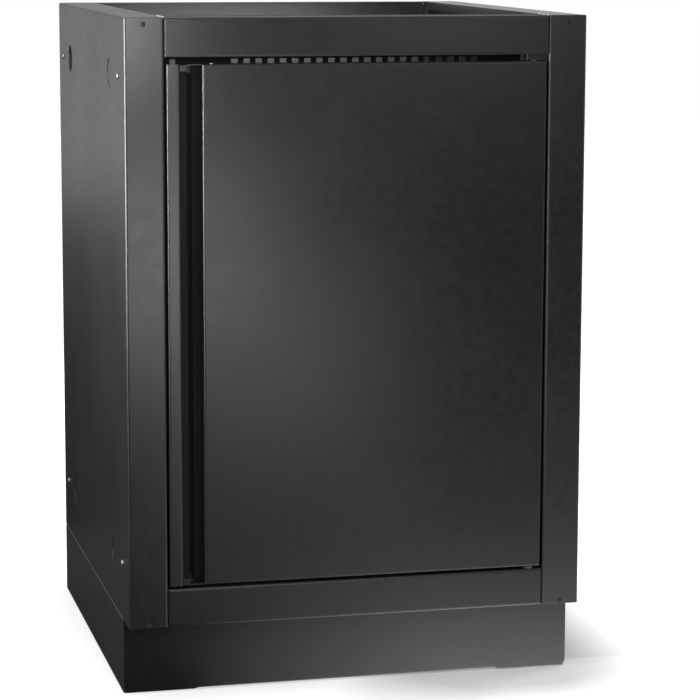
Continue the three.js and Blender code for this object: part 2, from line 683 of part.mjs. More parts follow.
// Kick plate across the front of the plinth, with its two lower corners cut off.
function kickPlate() {
  const section = (top, hem) => folded([
    ...(top ? [[KICK_FRONT + top, KICK_TOP]] : []),
    [KICK_FRONT, KICK_TOP],
    [KICK_FRONT, KICK_PLATE_LIFT],
    ...(hem ? [[KICK_FRONT + hem, KICK_PLATE_LIFT]] : []),
  ]);
  const flangeHalf = WIDTH / 2 - FOOT_FLANGE - FOLD_OUTSIDE;
  const hemHalf = WIDTH / 2 - KICK_WRAP - FOLD_OUTSIDE;
  const face = joined([
    alongX(section(0, 0), LEFT, -flangeHalf),
    alongX(section(KICK_PLATE_FLANGE, 0), -flangeHalf, -hemHalf),
    alongX(section(KICK_PLATE_FLANGE, KICK_PLATE_HEM), -hemHalf, hemHalf),
    alongX(section(KICK_PLATE_FLANGE, 0), hemHalf, flangeHalf),
    alongX(section(0, 0), flangeHalf, RIGHT),
  ]);
  const outline = alongY([
    [LEFT, KICK_TOP],
    [LEFT, KICK_PLATE_LIFT + KICK_CORNER_CUT],
    [LEFT + KICK_CORNER_CUT, KICK_PLATE_LIFT],
    [RIGHT - KICK_CORNER_CUT, KICK_PLATE_LIFT],
    [RIGHT, KICK_PLATE_LIFT + KICK_CORNER_CUT],
    [RIGHT, KICK_TOP],
  ], KICK_FRONT, KICK_FRONT + RAIL_FLANGE);
  return face.intersect(outline);
}

// Cross member at the back of the plinth.
const PLINTH_MEMBER_FROM_BACK = 32;
const PLINTH_MEMBER_LIFT = 25;
const PLINTH_MEMBER_FLANGE = 22;

function plinthMember() {
  const web = SIDE_BACK - PLINTH_MEMBER_FROM_BACK;
  const half = INSIDE_HALF - SEAT;
  return alongX(folded([
    [web + PLINTH_MEMBER_FLANGE, KICK_TOP - SHEET - SEAT],
    [web, KICK_TOP - SHEET - SEAT],
    [web, PLINTH_MEMBER_LIFT],
    [web + PLINTH_MEMBER_FLANGE, PLINTH_MEMBER_LIFT],
  ]), -half, half);
}

// Foot bracket: a heavy angle on the plinth side that carries one levelling foot.
const BRACKET_SHEET = 3;
const BRACKET_REACH = 60;
const BRACKET_RISE = 30;
const BRACKET_WIDTH = 70;
const BRACKET_LEVEL = 52;
const BRACKET_FRONT = KICK_INSIDE + SHEET + 2 * SEAT + BRACKET_WIDTH / 2;
const BRACKET_REAR = SIDE_BACK - PLINTH_MEMBER_FROM_BACK - SEAT - BRACKET_WIDTH / 2;
const STUD_INSET = 35;
const STUD_RADIUS = 5;
const STUD_TOP = 84;
const PAD_RADIUS = 21;
const PAD_RIM = 4;
const PAD_HEIGHT = 9;
const PAD_NECK = 9;
const HEX_ACROSS = 17;
const HEX_HEIGHT = 8;
const FOOT_PLACES = [
  ['front_left', -1, BRACKET_FRONT],
  ['front_right', 1, BRACKET_FRONT],
  ['rear_left', -1, BRACKET_REAR],
  ['rear_right', 1, BRACKET_REAR],
];

function footBracket() {
  const angle = alongY(
    folded([[0, BRACKET_RISE], [0, 0], [BRACKET_REACH, 0]], BRACKET_SHEET),
    -BRACKET_WIDTH / 2,
    BRACKET_WIDTH / 2,
  );
  const outline = circle(STUD_INSET, 0, STUD_RADIUS + SEAT, ROUND_SIDES);
  const hole = alongZ(outline, -OVERRUN, BRACKET_SHEET + OVERRUN);
  return angle.subtract(hole);
}

// Levelling foot on the floor: a pad, a threaded stud and the hexagon that the bracket rests on.
function levellingFoot() {
  const hexTop = BRACKET_LEVEL - SEAT;
  const hexagon = alongZ(circle(0, 0, HEX_ACROSS / Math.sqrt(3), 6), hexTop - HEX_HEIGHT, hexTop);
  return turned([
    [0, 0],
    [PAD_RADIUS, 0],
    [PAD_RADIUS, PAD_RIM],
    [PAD_NECK, PAD_HEIGHT],
    [STUD_RADIUS, PAD_HEIGHT],
    [STUD_RADIUS, STUD_TOP - FOLD_INSIDE],
    [STUD_RADIUS - FOLD_INSIDE, STUD_TOP],
    [0, STUD_TOP],
  ]).add(hexagon);
}

// Cap in a service hole: its disc lies a little below the side's face and its rim holds it from
// inside.
const CAP_RECESS = 0.5;
const CAP_RIM_RADIUS = 22;
const CAP_RIM_THICKNESS = 1.5;

function serviceCap() {
  const disc = SERVICE_RADIUS - SEAT;
  const rim = SHEET + SEAT;
  return turned([
    [0, CAP_RECESS],
    [disc, CAP_RECESS],
    [disc, rim],
    [CAP_RIM_RADIUS, rim],
    [CAP_RIM_RADIUS, rim + CAP_RIM_THICKNESS],
    [0, rim + CAP_RIM_THICKNESS],
  ]);
}

// Top pivot: a nylon block in the gap over the door with a boss up through the header's flange.
const PIVOT_BOSS_RISE = 3;
const PIVOT_BLOCK_HALF = 12;
const PIVOT_BLOCK_DEPTH = 14;
const PIVOT_BLOCK_GAP = 1.2;
const PIVOT_BLOCK_CORNER = 2;
const PIN_TOP_REACH = 30;
const PIN_BOTTOM_REACH = 20;
const HOUSING_HEIGHT = 30;

function pivotBearing() {
  const bottom = DOOR_TOP + PIVOT_BLOCK_GAP;
  const top = OPENING_TOP - SEAT;
  const halfDepth = PIVOT_BLOCK_DEPTH / 2;
  const block = alongZ(rounded([
    [PIVOT_X - PIVOT_BLOCK_HALF, PIVOT_Y - halfDepth, PIVOT_BLOCK_CORNER],
    [PIVOT_X + PIVOT_BLOCK_HALF, PIVOT_Y - halfDepth, PIVOT_BLOCK_CORNER],
    [PIVOT_X + PIVOT_BLOCK_HALF, PIVOT_Y + halfDepth, PIVOT_BLOCK_CORNER],
    [PIVOT_X - PIVOT_BLOCK_HALF, PIVOT_Y + halfDepth, PIVOT_BLOCK_CORNER],
  ]), bottom, top);
  const bossTop = OPENING_TOP + SHEET + PIVOT_BOSS_RISE;
  const boss = aboutPivot(PIVOT_BOSS_RADIUS, bottom, bossTop);
  const bore = aboutPivot(BORE_RADIUS, bottom - OVERRUN, bossTop + OVERRUN);
  return block.add(boss).subtract(bore);
}

// Sprung pin in the top of the door, and the fixed pin in the rail that carries the door.
function pivotPinTop() {
  const top = OPENING_TOP + SHEET;
  return aboutPivot(PIN_RADIUS, DOOR_TOP - PIN_TOP_REACH, top);
}

function pivotPinBottom() {
  const foot = OPENING_BOTTOM - SHEET - PIN_BOTTOM_REACH / 2;
  const headTop = OPENING_BOTTOM - SHEET - SEAT;
  const pin = aboutPivot(PIN_RADIUS, foot, DOOR_BOTTOM + PIN_BOTTOM_REACH);
  return pin.add(aboutPivot(PIVOT_BOSS_RADIUS, foot, headTop));
}

// Thrust washer that the door turns on, between the rail and the door's lower edge.
function thrustWasher() {
  const bottom = OPENING_BOTTOM + SEAT;
  const top = DOOR_BOTTOM - SEAT;
  const disc = aboutPivot(2 * PIN_RADIUS, bottom, top);
  const bore = aboutPivot(BORE_RADIUS, bottom - OVERRUN, top + OVERRUN);
  return disc.subtract(bore);
}

// Faces of the finger channel: the grip strip's right face, the skin's left face, and the floor.
const GRIP_RIGHT = GRIP_STRIP - DOOR_HALF;
const SKIN_LEFT = GRIP_RIGHT + CHANNEL_WIDTH;
const CHANNEL_FLOOR = FRONT + CHANNEL_DEPTH;
const GRIP_LEDGE = CHANNEL_WIDTH - CHANNEL_SLOT - CHANNEL_LEDGE;
const DOOR_FOLD = FOLD_INSIDE + THIN_SHEET;
const PAN_DROP = 6;
const SKIN_BACK = DOOR_BACK - SEAT;

// Door skin: the large front sheet, folded back along its top, bottom and right edges. Its left
// edge folds back as a wall of the finger channel and then turns towards the grip as its floor.
function doorSkin() {
  const edges = alongZ(folded([
    [SKIN_LEFT - CHANNEL_LEDGE, CHANNEL_FLOOR],
    [SKIN_LEFT, CHANNEL_FLOOR],
    [SKIN_LEFT, FRONT],
    [DOOR_HALF, FRONT],
    [DOOR_HALF, SKIN_BACK],
  ], THIN_SHEET), DOOR_BOTTOM + DOOR_FOLD, DOOR_TOP - DOOR_FOLD);
  const ends = alongX(folded([
    [SKIN_BACK, DOOR_TOP],
    [FRONT, DOOR_TOP],
    [FRONT, DOOR_BOTTOM],
    [SKIN_BACK, DOOR_BOTTOM],
  ], THIN_SHEET), SKIN_LEFT, DOOR_HALF);
  const plan = alongZ(rounded([
    [SKIN_LEFT, FRONT, DOOR_FOLD],
    [DOOR_HALF, FRONT, DOOR_FOLD],
    [DOOR_HALF, SKIN_BACK],
    [SKIN_LEFT, SKIN_BACK],
  ]), DOOR_BOTTOM, DOOR_TOP);
  const pinHole = aboutPivot(BORE_RADIUS, DOOR_BOTTOM - OVERRUN, DOOR_TOP + OVERRUN);
  return edges.add(ends.intersect(plan)).subtract(pinHole);
}

// Grip: the narrow strip at the door's free edge. It folds back round the door's left edge and
// again at its right, where fingers pull on it, and ends as the other half of the channel's floor.
function grip() {
  return alongZ(folded([
    [-DOOR_HALF, SKIN_BACK],
    [-DOOR_HALF, FRONT],
    [GRIP_RIGHT, FRONT],
    [GRIP_RIGHT, CHANNEL_FLOOR],
    [GRIP_RIGHT + GRIP_LEDGE, CHANNEL_FLOOR],
  ], THIN_SHEET), DOOR_BOTTOM, DOOR_TOP);
}

// Closer at an end of the channel: a plate over it, with a tab at the front beside the grip. The
// side that faces into the door is up (1) or down (-1) from its edge.
const CLOSER_TAB_WIDTH = 8.5;
const CLOSER_TAB_REACH = 8.5;
const CLOSER_SETBACK = 2.5;

function channelCloser(edge, inward) {
  const left = GRIP_RIGHT + SEAT;
  const back = CHANNEL_FLOOR - SEAT;
  const path = [[back, edge], [FRONT, edge], [FRONT, edge + inward * CLOSER_TAB_REACH]];
  const tab = alongX(
    folded(inward < 0 ? path : path.reverse(), THIN_SHEET),
    left,
    left + CLOSER_TAB_WIDTH,
  );
  const plate = alongZ(
    rectangle(left, SKIN_LEFT - SEAT, FRONT + CLOSER_SETBACK, back),
    Math.min(edge, edge + inward * THIN_SHEET),
    Math.max(edge, edge + inward * THIN_SHEET),
  );
  return tab.add(plate);
}

// Block inside a corner of the door, bored for its pivot pin and screwed to the inner pan.
const HOUSING_LEFT = 13;
const HOUSING_CORNER = 2;
const HOUSING_INSET = 2 * (THIN_SHEET + SEAT) + FOLD_INSIDE;
const HOUSING_SCREW_OFFSET = 8;
const HOUSING_BACK = DOOR_BACK - THIN_SHEET - SEAT;
const HOUSING_BOTTOMS = [DOOR_BOTTOM + HOUSING_INSET, DOOR_TOP - HOUSING_INSET - HOUSING_HEIGHT];
const HOUSING_SCREWS = HOUSING_BOTTOMS.flatMap((bottom) => [
  [PIVOT_X - HOUSING_SCREW_OFFSET, DOOR_BACK, bottom + HOUSING_SCREW_OFFSET],
  [PIVOT_X - HOUSING_SCREW_OFFSET, DOOR_BACK, bottom + HOUSING_HEIGHT - HOUSING_SCREW_OFFSET],
]);

function housingScrewHole([x, y, z]) {
  return alongY(circle(x, z, SCREW_HOLE_RADIUS, SCREW_SIDES), y - SCREW_LENGTH - SEAT, y + OVERRUN);
}

function pivotHousing(bottom) {
  const top = bottom + HOUSING_HEIGHT;
  const left = PIVOT_X - HOUSING_LEFT;
  const right = DOOR_HALF - HOUSING_INSET;
  const front = FRONT + THIN_SHEET + SEAT;
  const block = alongZ(rounded([
    [left, front, HOUSING_CORNER],
    [right, front, HOUSING_CORNER],
    [right, HOUSING_BACK, HOUSING_CORNER],
    [left, HOUSING_BACK, HOUSING_CORNER],
  ]), bottom, top);
  const bore = aboutPivot(BORE_RADIUS, bottom - OVERRUN, top + OVERRUN);
  return cut(block, [bore, ...HOUSING_SCREWS.map(housingScrewHole)]);
}

// Inner pan that closes the back of the door.
const PAN_HALF = DOOR_HALF - THIN_SHEET - SEAT;
const PAN_HEIGHT = DOOR_HEIGHT - 2 * (THIN_SHEET + SEAT);

function doorPan() {
  const pan = tray(2 * PAN_HALF, PAN_HEIGHT, PAN_DROP, THIN_SHEET);
  const middle = [0, DOOR_BACK, (DOOR_TOP + DOOR_BOTTOM) / 2];
  return cut(placed(pan, [middle], TOWARDS_BACK), HOUSING_SCREWS.map(housingScrewHole));
}

// Foam strip between the channel's floor and the inner pan, which shows black in the slot.
const SEAL_OVERLAP = 4;
const SEAL_END = 12;

function channelSeal() {
  const left = GRIP_RIGHT + GRIP_LEDGE - SEAL_OVERLAP;
  const front = CHANNEL_FLOOR + THIN_SHEET + SEAT;
  const back = DOOR_BACK - THIN_SHEET - SEAT;
  const outline = rectangle(left, left + CHANNEL_SLOT + 2 * SEAL_OVERLAP, front, back);
  return alongZ(outline, DOOR_BOTTOM + SEAL_END, DOOR_TOP - SEAL_END);
}

// Body of the magnetic catch: it hangs behind the stop and its nose comes forward under it.
const NOSE_TOP = OPENING_TOP - STOP_DROP - SEAT;
const NOSE_HEIGHT = 12;
const NOSE_BOTTOM = NOSE_TOP - NOSE_HEIGHT;
const STRIKE_THICKNESS = 1.2;
const STRIKE_HEIGHT = 16;
const STRIKE_WIDTH = 34;
const CATCH_GAP = 0.5;
const MAGNET_WIDTH = 30;
const STRIKE_FACE = DOOR_BACK + SEAT + STRIKE_THICKNESS;
const NOSE_FRONT = STRIKE_FACE + CATCH_GAP;
const CATCH_REAR = CATCH_BACK_FACE + CATCH_DEPTH;

function catchBody() {
  const half = CATCH_WIDTH / 2;
  const pocketHalf = MAGNET_WIDTH / 2 + SEAT;
  const body = alongX([
    [CATCH_BACK_FACE, CATCH_TOP],
    [CATCH_BACK_FACE, NOSE_TOP],
    [NOSE_FRONT, NOSE_TOP],
    [NOSE_FRONT, NOSE_BOTTOM],
    [CATCH_REAR, NOSE_BOTTOM],
    [CATCH_REAR, CATCH_TOP],
  ], CATCH_X - half, CATCH_X + half);
  const pocket = alongX(
    rectangle(NOSE_FRONT - OVERRUN, CATCH_REAR - SHEET, NOSE_BOTTOM + SHEET, NOSE_TOP - SHEET),
    CATCH_X - pocketHalf,
    CATCH_X + pocketHalf,
  );
  return cut(body, [pocket, ...catchScrewHoles()]);
}

function catchMagnet() {
  const wall = SHEET + SEAT;
  return alongX(
    rectangle(NOSE_FRONT, CATCH_REAR - wall, NOSE_BOTTOM + wall, NOSE_TOP - wall),
    CATCH_X - MAGNET_WIDTH / 2,
    CATCH_X + MAGNET_WIDTH / 2,
  );
}

// Steel plate on the door that the magnet pulls on.
function strikePlate() {
  const middle = (NOSE_TOP + NOSE_BOTTOM) / 2;
  const half = STRIKE_WIDTH / 2;
  const rise = STRIKE_HEIGHT / 2;
  return alongY(rounded([
    [CATCH_X - half, middle - rise, FOLD_OUTSIDE],
    [CATCH_X + half, middle - rise, FOLD_OUTSIDE],
    [CATCH_X + half, middle + rise, FOLD_OUTSIDE],
    [CATCH_X - half, middle + rise, FOLD_OUTSIDE],
  ]), DOOR_BACK + SEAT, STRIKE_FACE);
}

// Rubber bumper on the back of the door, by its free edge, where it meets a stop.
const BUMPER_RADIUS = 4;
const BUMPER_FROM_EDGE = 5;
const BUMPER_FROM_SIDE = 24;

function bumper(level) {
  const outline = circle(BUMPER_FROM_SIDE - DOOR_HALF, level, BUMPER_RADIUS, ROUND_SIDES);
  return alongY(outline, DOOR_BACK + SEAT, STOP_FACE - SEAT);
}

// Button on the door's upper edge.
const BUTTON_FROM_LEFT = 59;
const BUTTON_FROM_FRONT = 5;
const BUTTON_RADIUS = 3;
const BUTTON_HEIGHT = 2;
const BUTTON_PLACE = [BUTTON_FROM_LEFT - DOOR_HALF, FRONT + BUTTON_FROM_FRONT, DOOR_TOP];

function edgeButton() {
  return turned([
    [0, SEAT],
    [BUTTON_RADIUS, SEAT],
    [BUTTON_RADIUS, BUTTON_HEIGHT / 2],
    [BUTTON_RADIUS / 2, BUTTON_HEIGHT],
    [0, BUTTON_HEIGHT],
  ], ROUND_SIDES / 2);
}

// The carcass and its plinth
const cabinet = new THREE.Group();
const leftSide = sidePanel();
const leftPlinth = plinthSide();
cabinet.add(
  piece('side_panel_left', leftSide, COAT),
  piece('side_panel_right', mirrored(leftSide), COAT),
  piece('header', header(), COAT),
  piece('bottom_rail', bottomRail(), COAT),
  piece('rear_top_rail', rearRail(OPENING_TOP, HEIGHT, BOLT_LEVELS[1]), COAT),
  piece('rear_bottom_rail', rearRail(PLINTH_HEIGHT, OPENING_BOTTOM, BOLT_LEVELS[0]), COAT),
  piece('back_panel', backPanel(), COAT),
  piece('floor_pan', floorTray(), COAT_INSIDE, [0, (FLOOR_FRONT + FLOOR_BACK) / 2, OPENING_BOTTOM]),
  piece('plinth_side_left', leftPlinth, COAT),
  piece('plinth_side_right', mirrored(leftPlinth), COAT),
  piece('kick_plate', kickPlate(), COAT),
  piece('plinth_cross_member', plinthMember(), COAT_INSIDE),
);

// Levelling feet and their brackets, one at each corner of the plinth
FOOT_PLACES.forEach(([corner, side, y]) => {
  const bracket = side < 0 ? footBracket() : mirrored(footBracket());
  cabinet.add(
    piece(`foot_bracket_${corner}`, bracket, STEEL, [side * INSIDE_HALF, y, BRACKET_LEVEL]),
    piece(`levelling_foot_${corner}`, levellingFoot(), STEEL, [side * (INSIDE_HALF - STUD_INSET), y, 0]),
  );
});

// Caps in the service holes, all but one, which stays open for a hose or a cable
const OPEN_HOLE = 'left_upper_rear';
[['left', LEFT, TOWARDS_RIGHT], ['right', RIGHT, TOWARDS_LEFT]].forEach(([side, x, turn]) => {
  SERVICE_LEVELS.forEach((z, row) => SERVICE_DEPTHS.forEach((y, column) => {
    const place = `${side}_${['lower', 'upper'][row]}_${['front', 'rear'][column]}`;
    if (place === OPEN_HOLE) return;
    cabinet.add(piece(`hole_cap_${place}`, serviceCap(), COAT, [x, y, z], turn));
  }));
});

// The shelf, its standards and its clips
cabinet.add(piece('shelf', shelf(), COAT_INSIDE, [0, (FLOOR_FRONT + FLOOR_BACK) / 2, SHELF_LEVEL]));
[['left', -1], ['right', 1]].forEach(([side, sign]) => {
  const handed = (body) => (sign < 0 ? body : mirrored(body));
  STANDARD_DEPTHS.forEach((y, column) => {
    const place = `${side}_${['front', 'rear'][column]}`;
    cabinet.add(
      piece(`shelf_standard_${place}`, handed(shelfStandard()), STEEL, [sign * INSIDE_HALF, y, 0]),
      piece(`shelf_clip_${place}`, handed(shelfClip()), STEEL, [sign * INSIDE_HALF, y, 0]),
    );
  });
});

// What the door turns on and what holds it shut
cabinet.add(
  piece('pivot_bearing', pivotBearing(), NYLON),
  piece('pivot_pin_lower', pivotPinBottom(), STEEL),
  piece('pivot_washer', thrustWasher(), NYLON),
  piece('catch_body', catchBody(), NYLON),
  piece('catch_magnet', catchMagnet(), MAGNET),
);

// Screws in the faces of the stiles
[['left', LEFT + FACE_SCREW_INSET], ['right', RIGHT - FACE_SCREW_INSET]].forEach(([side, x]) => {
  FACE_SCREW_LEVELS.forEach((z, row) => {
    const name = `face_screw_${side}_${['lower', 'upper'][row]}`;
    cabinet.add(piece(name, screw(), COAT, [x, FRONT, z], TOWARDS_FRONT));
  });
});

// The door, as a group about the axis of its pivots
const door = new THREE.Group();
door.position.set(PIVOT_X, PIVOT_Y, 0);
const onDoor = (name, body, finish, [x, y, z] = [0, 0, 0]) =>
  door.add(piece(name, body, finish, [x - PIVOT_X, y - PIVOT_Y, z]));
onDoor('door_skin', doorSkin(), COAT);
onDoor('door_grip', grip(), COAT);
onDoor('channel_closer_upper', channelCloser(DOOR_TOP, -1), COAT);
onDoor('channel_closer_lower', channelCloser(DOOR_BOTTOM, 1), COAT);
onDoor('channel_seal', channelSeal(), RUBBER);
onDoor('door_inner_pan', doorPan(), COAT_INSIDE);
onDoor('pivot_housing_lower', pivotHousing(HOUSING_BOTTOMS[0]), NYLON);
onDoor('pivot_housing_upper', pivotHousing(HOUSING_BOTTOMS[1]), NYLON);
onDoor('pivot_pin_upper', pivotPinTop(), STEEL);
onDoor('strike_plate', strikePlate(), STEEL);
onDoor('door_bumper_lower', bumper(DOOR_BOTTOM + BUMPER_FROM_EDGE), RUBBER);
onDoor('door_bumper_upper', bumper(DOOR_TOP - BUMPER_FROM_EDGE), RUBBER);
onDoor('door_button', edgeButton(), STEEL, BUTTON_PLACE);
cabinet.add(door);

export default cabinet;
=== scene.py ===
"""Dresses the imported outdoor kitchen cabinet: powder-coated sheet, plated hardware, the small
fasteners that the CAD only has holes for, and a pale studio with the camera of the photograph.
Metres, +Z up, front towards -Y, floor at Z 0."""
import json
import math

import bmesh
import bpy
import numpy as np
from mathutils import Matrix, Vector


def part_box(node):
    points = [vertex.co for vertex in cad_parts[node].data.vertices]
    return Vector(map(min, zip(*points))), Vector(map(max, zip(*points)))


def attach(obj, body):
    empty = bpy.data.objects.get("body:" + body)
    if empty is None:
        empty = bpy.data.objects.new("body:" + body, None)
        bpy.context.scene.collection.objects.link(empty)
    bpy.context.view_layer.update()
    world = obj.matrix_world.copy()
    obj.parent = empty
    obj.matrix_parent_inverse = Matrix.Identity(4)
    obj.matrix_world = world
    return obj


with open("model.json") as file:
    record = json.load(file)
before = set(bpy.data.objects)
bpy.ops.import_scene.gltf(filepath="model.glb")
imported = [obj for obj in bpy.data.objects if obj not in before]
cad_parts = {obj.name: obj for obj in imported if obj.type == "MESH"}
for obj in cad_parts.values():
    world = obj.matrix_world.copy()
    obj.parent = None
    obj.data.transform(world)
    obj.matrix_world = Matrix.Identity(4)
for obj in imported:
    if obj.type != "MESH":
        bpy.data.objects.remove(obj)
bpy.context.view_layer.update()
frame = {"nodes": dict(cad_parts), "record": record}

nodes = frame["nodes"]
MM = 0.001
MERGE = 1e-6
FRONT = -0.315

# The camera of the photograph: the lens in pixels of a 700 pixel picture, its place and its turns.
FOCAL_PIXELS = 2603.0
PICTURE = 700.0
SENSOR = 36.0
LENS_SHIFT = -0.04
EYE = Vector((-0.8027, -3.5623, 1.0042))
YAW, PITCH, ROLL = (math.radians(degrees) for degrees in (13.68, -8.66, 0.17))


def studio_camera():
    """Looks along (sin yaw cos pitch, cos yaw cos pitch, sin pitch), then rolls about that line."""
    level = math.cos(PITCH)
    ahead = Vector((math.sin(YAW) * level, math.cos(YAW) * level, math.sin(PITCH)))
    right = Vector((math.cos(YAW), -math.sin(YAW), 0))
    up = right.cross(ahead)
    turned_right = right * math.cos(ROLL) + up * math.sin(ROLL)
    turned_up = up * math.cos(ROLL) - right * math.sin(ROLL)
    data = bpy.data.cameras.new("studio_camera")
    data.sensor_width = SENSOR
    data.lens = FOCAL_PIXELS / PICTURE * SENSOR
    data.shift_y = LENS_SHIFT
    camera = bpy.data.objects.new("studio_camera", data)
    bpy.context.scene.collection.objects.link(camera)
    turn = Matrix((turned_right, turned_up, -ahead)).transposed().to_4x4()
    camera.matrix_world = Matrix.Translation(EYE) @ turn
    bpy.context.scene.camera = camera


studio_camera()


class Wiring:
    """Short words for the nodes of one tree, of a material or of the world."""

    def __init__(self, tree):
        self.tree = tree

    def node(self, kind, links=None, **settings):
        """A node of one kind, with its settings, and what its sockets are fed with."""
        made = self.tree.nodes.new(kind)
        for key, value in settings.items():
            setattr(made, key, value)
        for key, value in (links or {}).items():
            self.feed(made.inputs[key], value)
        return made

    def feed(self, socket, value):
        """Links what another node gives, or sets a plain value on the socket itself."""
        if isinstance(value, bpy.types.NodeSocket):
            self.tree.links.new(value, socket)
        else:
            socket.default_value = value

    def math(self, operation, *values):
        """One operation on numbers or on what other nodes give."""
        made = self.node("ShaderNodeMath", operation=operation)
        for socket, value in zip(made.inputs, values):
            self.feed(socket, value)
        return made.outputs[0]

    def ramp(self, value, low, high, start, end):
        """value from low..high carried linearly to start..end, and held past both ends."""
        limits = {"From Min": low, "From Max": high, "To Min": start, "To Max": end}
        return self.node("ShaderNodeMapRange", {"Value": value, **limits}).outputs["Result"]

    def seen_rays(self):
        """1 for camera, glossy and transmitted rays, 0 for the light that falls on the object."""
        path = self.node("ShaderNodeLightPath").outputs
        mirrored = self.math("MAXIMUM", path["Is Glossy Ray"], path["Is Transmission Ray"])
        return self.math("MAXIMUM", path["Is Camera Ray"], mirrored)


class Finish(Wiring):
    """A material with a Principled surface, whose patterns read Object coordinates."""

    def __init__(self, name, color, metallic=0.0, roughness=0.5, specular=0.5):
        self.material = bpy.data.materials.new(name)
        self.material.use_nodes = True
        super().__init__(self.material.node_tree)
        self.surface = self.tree.nodes["Principled BSDF"]
        self.set("Base Color", (*color, 1))
        self.set("Metallic", metallic)
        self.set("Roughness", roughness)
        self.set("Specular IOR Level", specular)
        self.place = self.node("ShaderNodeTexCoord").outputs["Object"]

    def set(self, socket, value):
        """Feeds one socket of the surface."""
        self.feed(self.surface.inputs[socket], value)

    def axis(self, letter):
        """The place along X, Y or Z, in metres."""
        return self.node("ShaderNodeSeparateXYZ", {"Vector": self.place}).outputs[letter]

    def noise(self, scale, detail=2.0, rough=0.5, place=None):
        """Cloudy noise from 0 to 1, at scale waves per metre."""
        grid = {"Vector": place or self.place, "Scale": scale, "Detail": detail, "Roughness": rough}
        return self.node("ShaderNodeTexNoise", grid).outputs["Fac"]

    def cells(self, scale, output):
        """Random cells, scale of them along each metre: their colour, or the distance to their middle."""
        return self.node("ShaderNodeTexVoronoi", {"Vector": self.place, "Scale": scale}).outputs[output]

    def stretched(self, scale):
        """Object coordinates drawn out along one direction, for brush marks and scratches."""
        return self.node("ShaderNodeMapping", {"Vector": self.place, "Scale": scale}).outputs["Vector"]

    def blend(self, factor, first, second):
        """The first colour at factor 0, the second at 1, and mixed in between."""
        made = self.node("ShaderNodeMix", data_type="RGBA")
        self.feed(made.inputs["Factor"], factor)
        for socket, value in zip((s for s in made.inputs if s.type == "RGBA"), (first, second)):
            self.feed(socket, value if isinstance(value, bpy.types.NodeSocket) else (*value, 1))
        return next(s for s in made.outputs if s.type == "RGBA")

    def bumps(self, *layers, start=None):
        """Each layer is (height, strength, depth in metres); the last one meets the surface."""
        normal = start
        for height, strength, depth in layers:
            links = {"Height": height, "Strength": strength, "Distance": depth}
            if normal:
                links["Normal"] = normal
            normal = self.node("ShaderNodeBump", links).outputs["Normal"]
        self.set("Normal", normal)

    def glow(self, strength):
        """White light of the surface's own."""
        self.set("Emission Color", (1, 1, 1, 1))
        self.set("Emission Strength", strength)


# The coat's linear colours: its two main tones, the rubbed edges with their painted highlight, the
# speckle, the painted shade of the recess, and the painted light of the inner face.
COAT = (0.0080, 0.0082, 0.0085)
COAT_LIGHT = (0.0105, 0.0107, 0.0111)
COAT_RUBBED_HIGHLIGHT = (0.090, 0.090, 0.092)
COAT_GRAIN = (0.022, 0.022, 0.023)
COAT_RECESS_SHADE = (0.0015, 0.0015, 0.0016)
COAT_INSIDE_LIGHT = (0.075, 0.076, 0.078)

# The coat's patterns in waves per metre, from the slow waves of the sheet to the sandy grain.
SWELL, CLOUDS, MOTTLE, PEEL, GRAIN = 2.6, 6.0, 85.0, 230.0, 1500.0
# The stretch of a noise pattern that carries its tones from the first to the last.
TONES = (0.3, 0.7)
SPECKS = (0.66, 0.74)
EDGE_ROUNDING = 0.0011
EDGE_FLAT, EDGE_SHARP = 0.985, 0.80
RUBBED_HIGHLIGHT_LEAST, RUBBED_HIGHLIGHT_MOST = 0.25, 0.8
MOTTLE_GLOSS, CLOUD_GLOSS, RUBBED_GLOSS = 0.025, 0.015, 0.10
RECESS_SHADE_FADE = 0.004
RECESS_SHADE_ROUGHNESS = 0.98
INSIDE_LIGHT_LEAST = 0.85


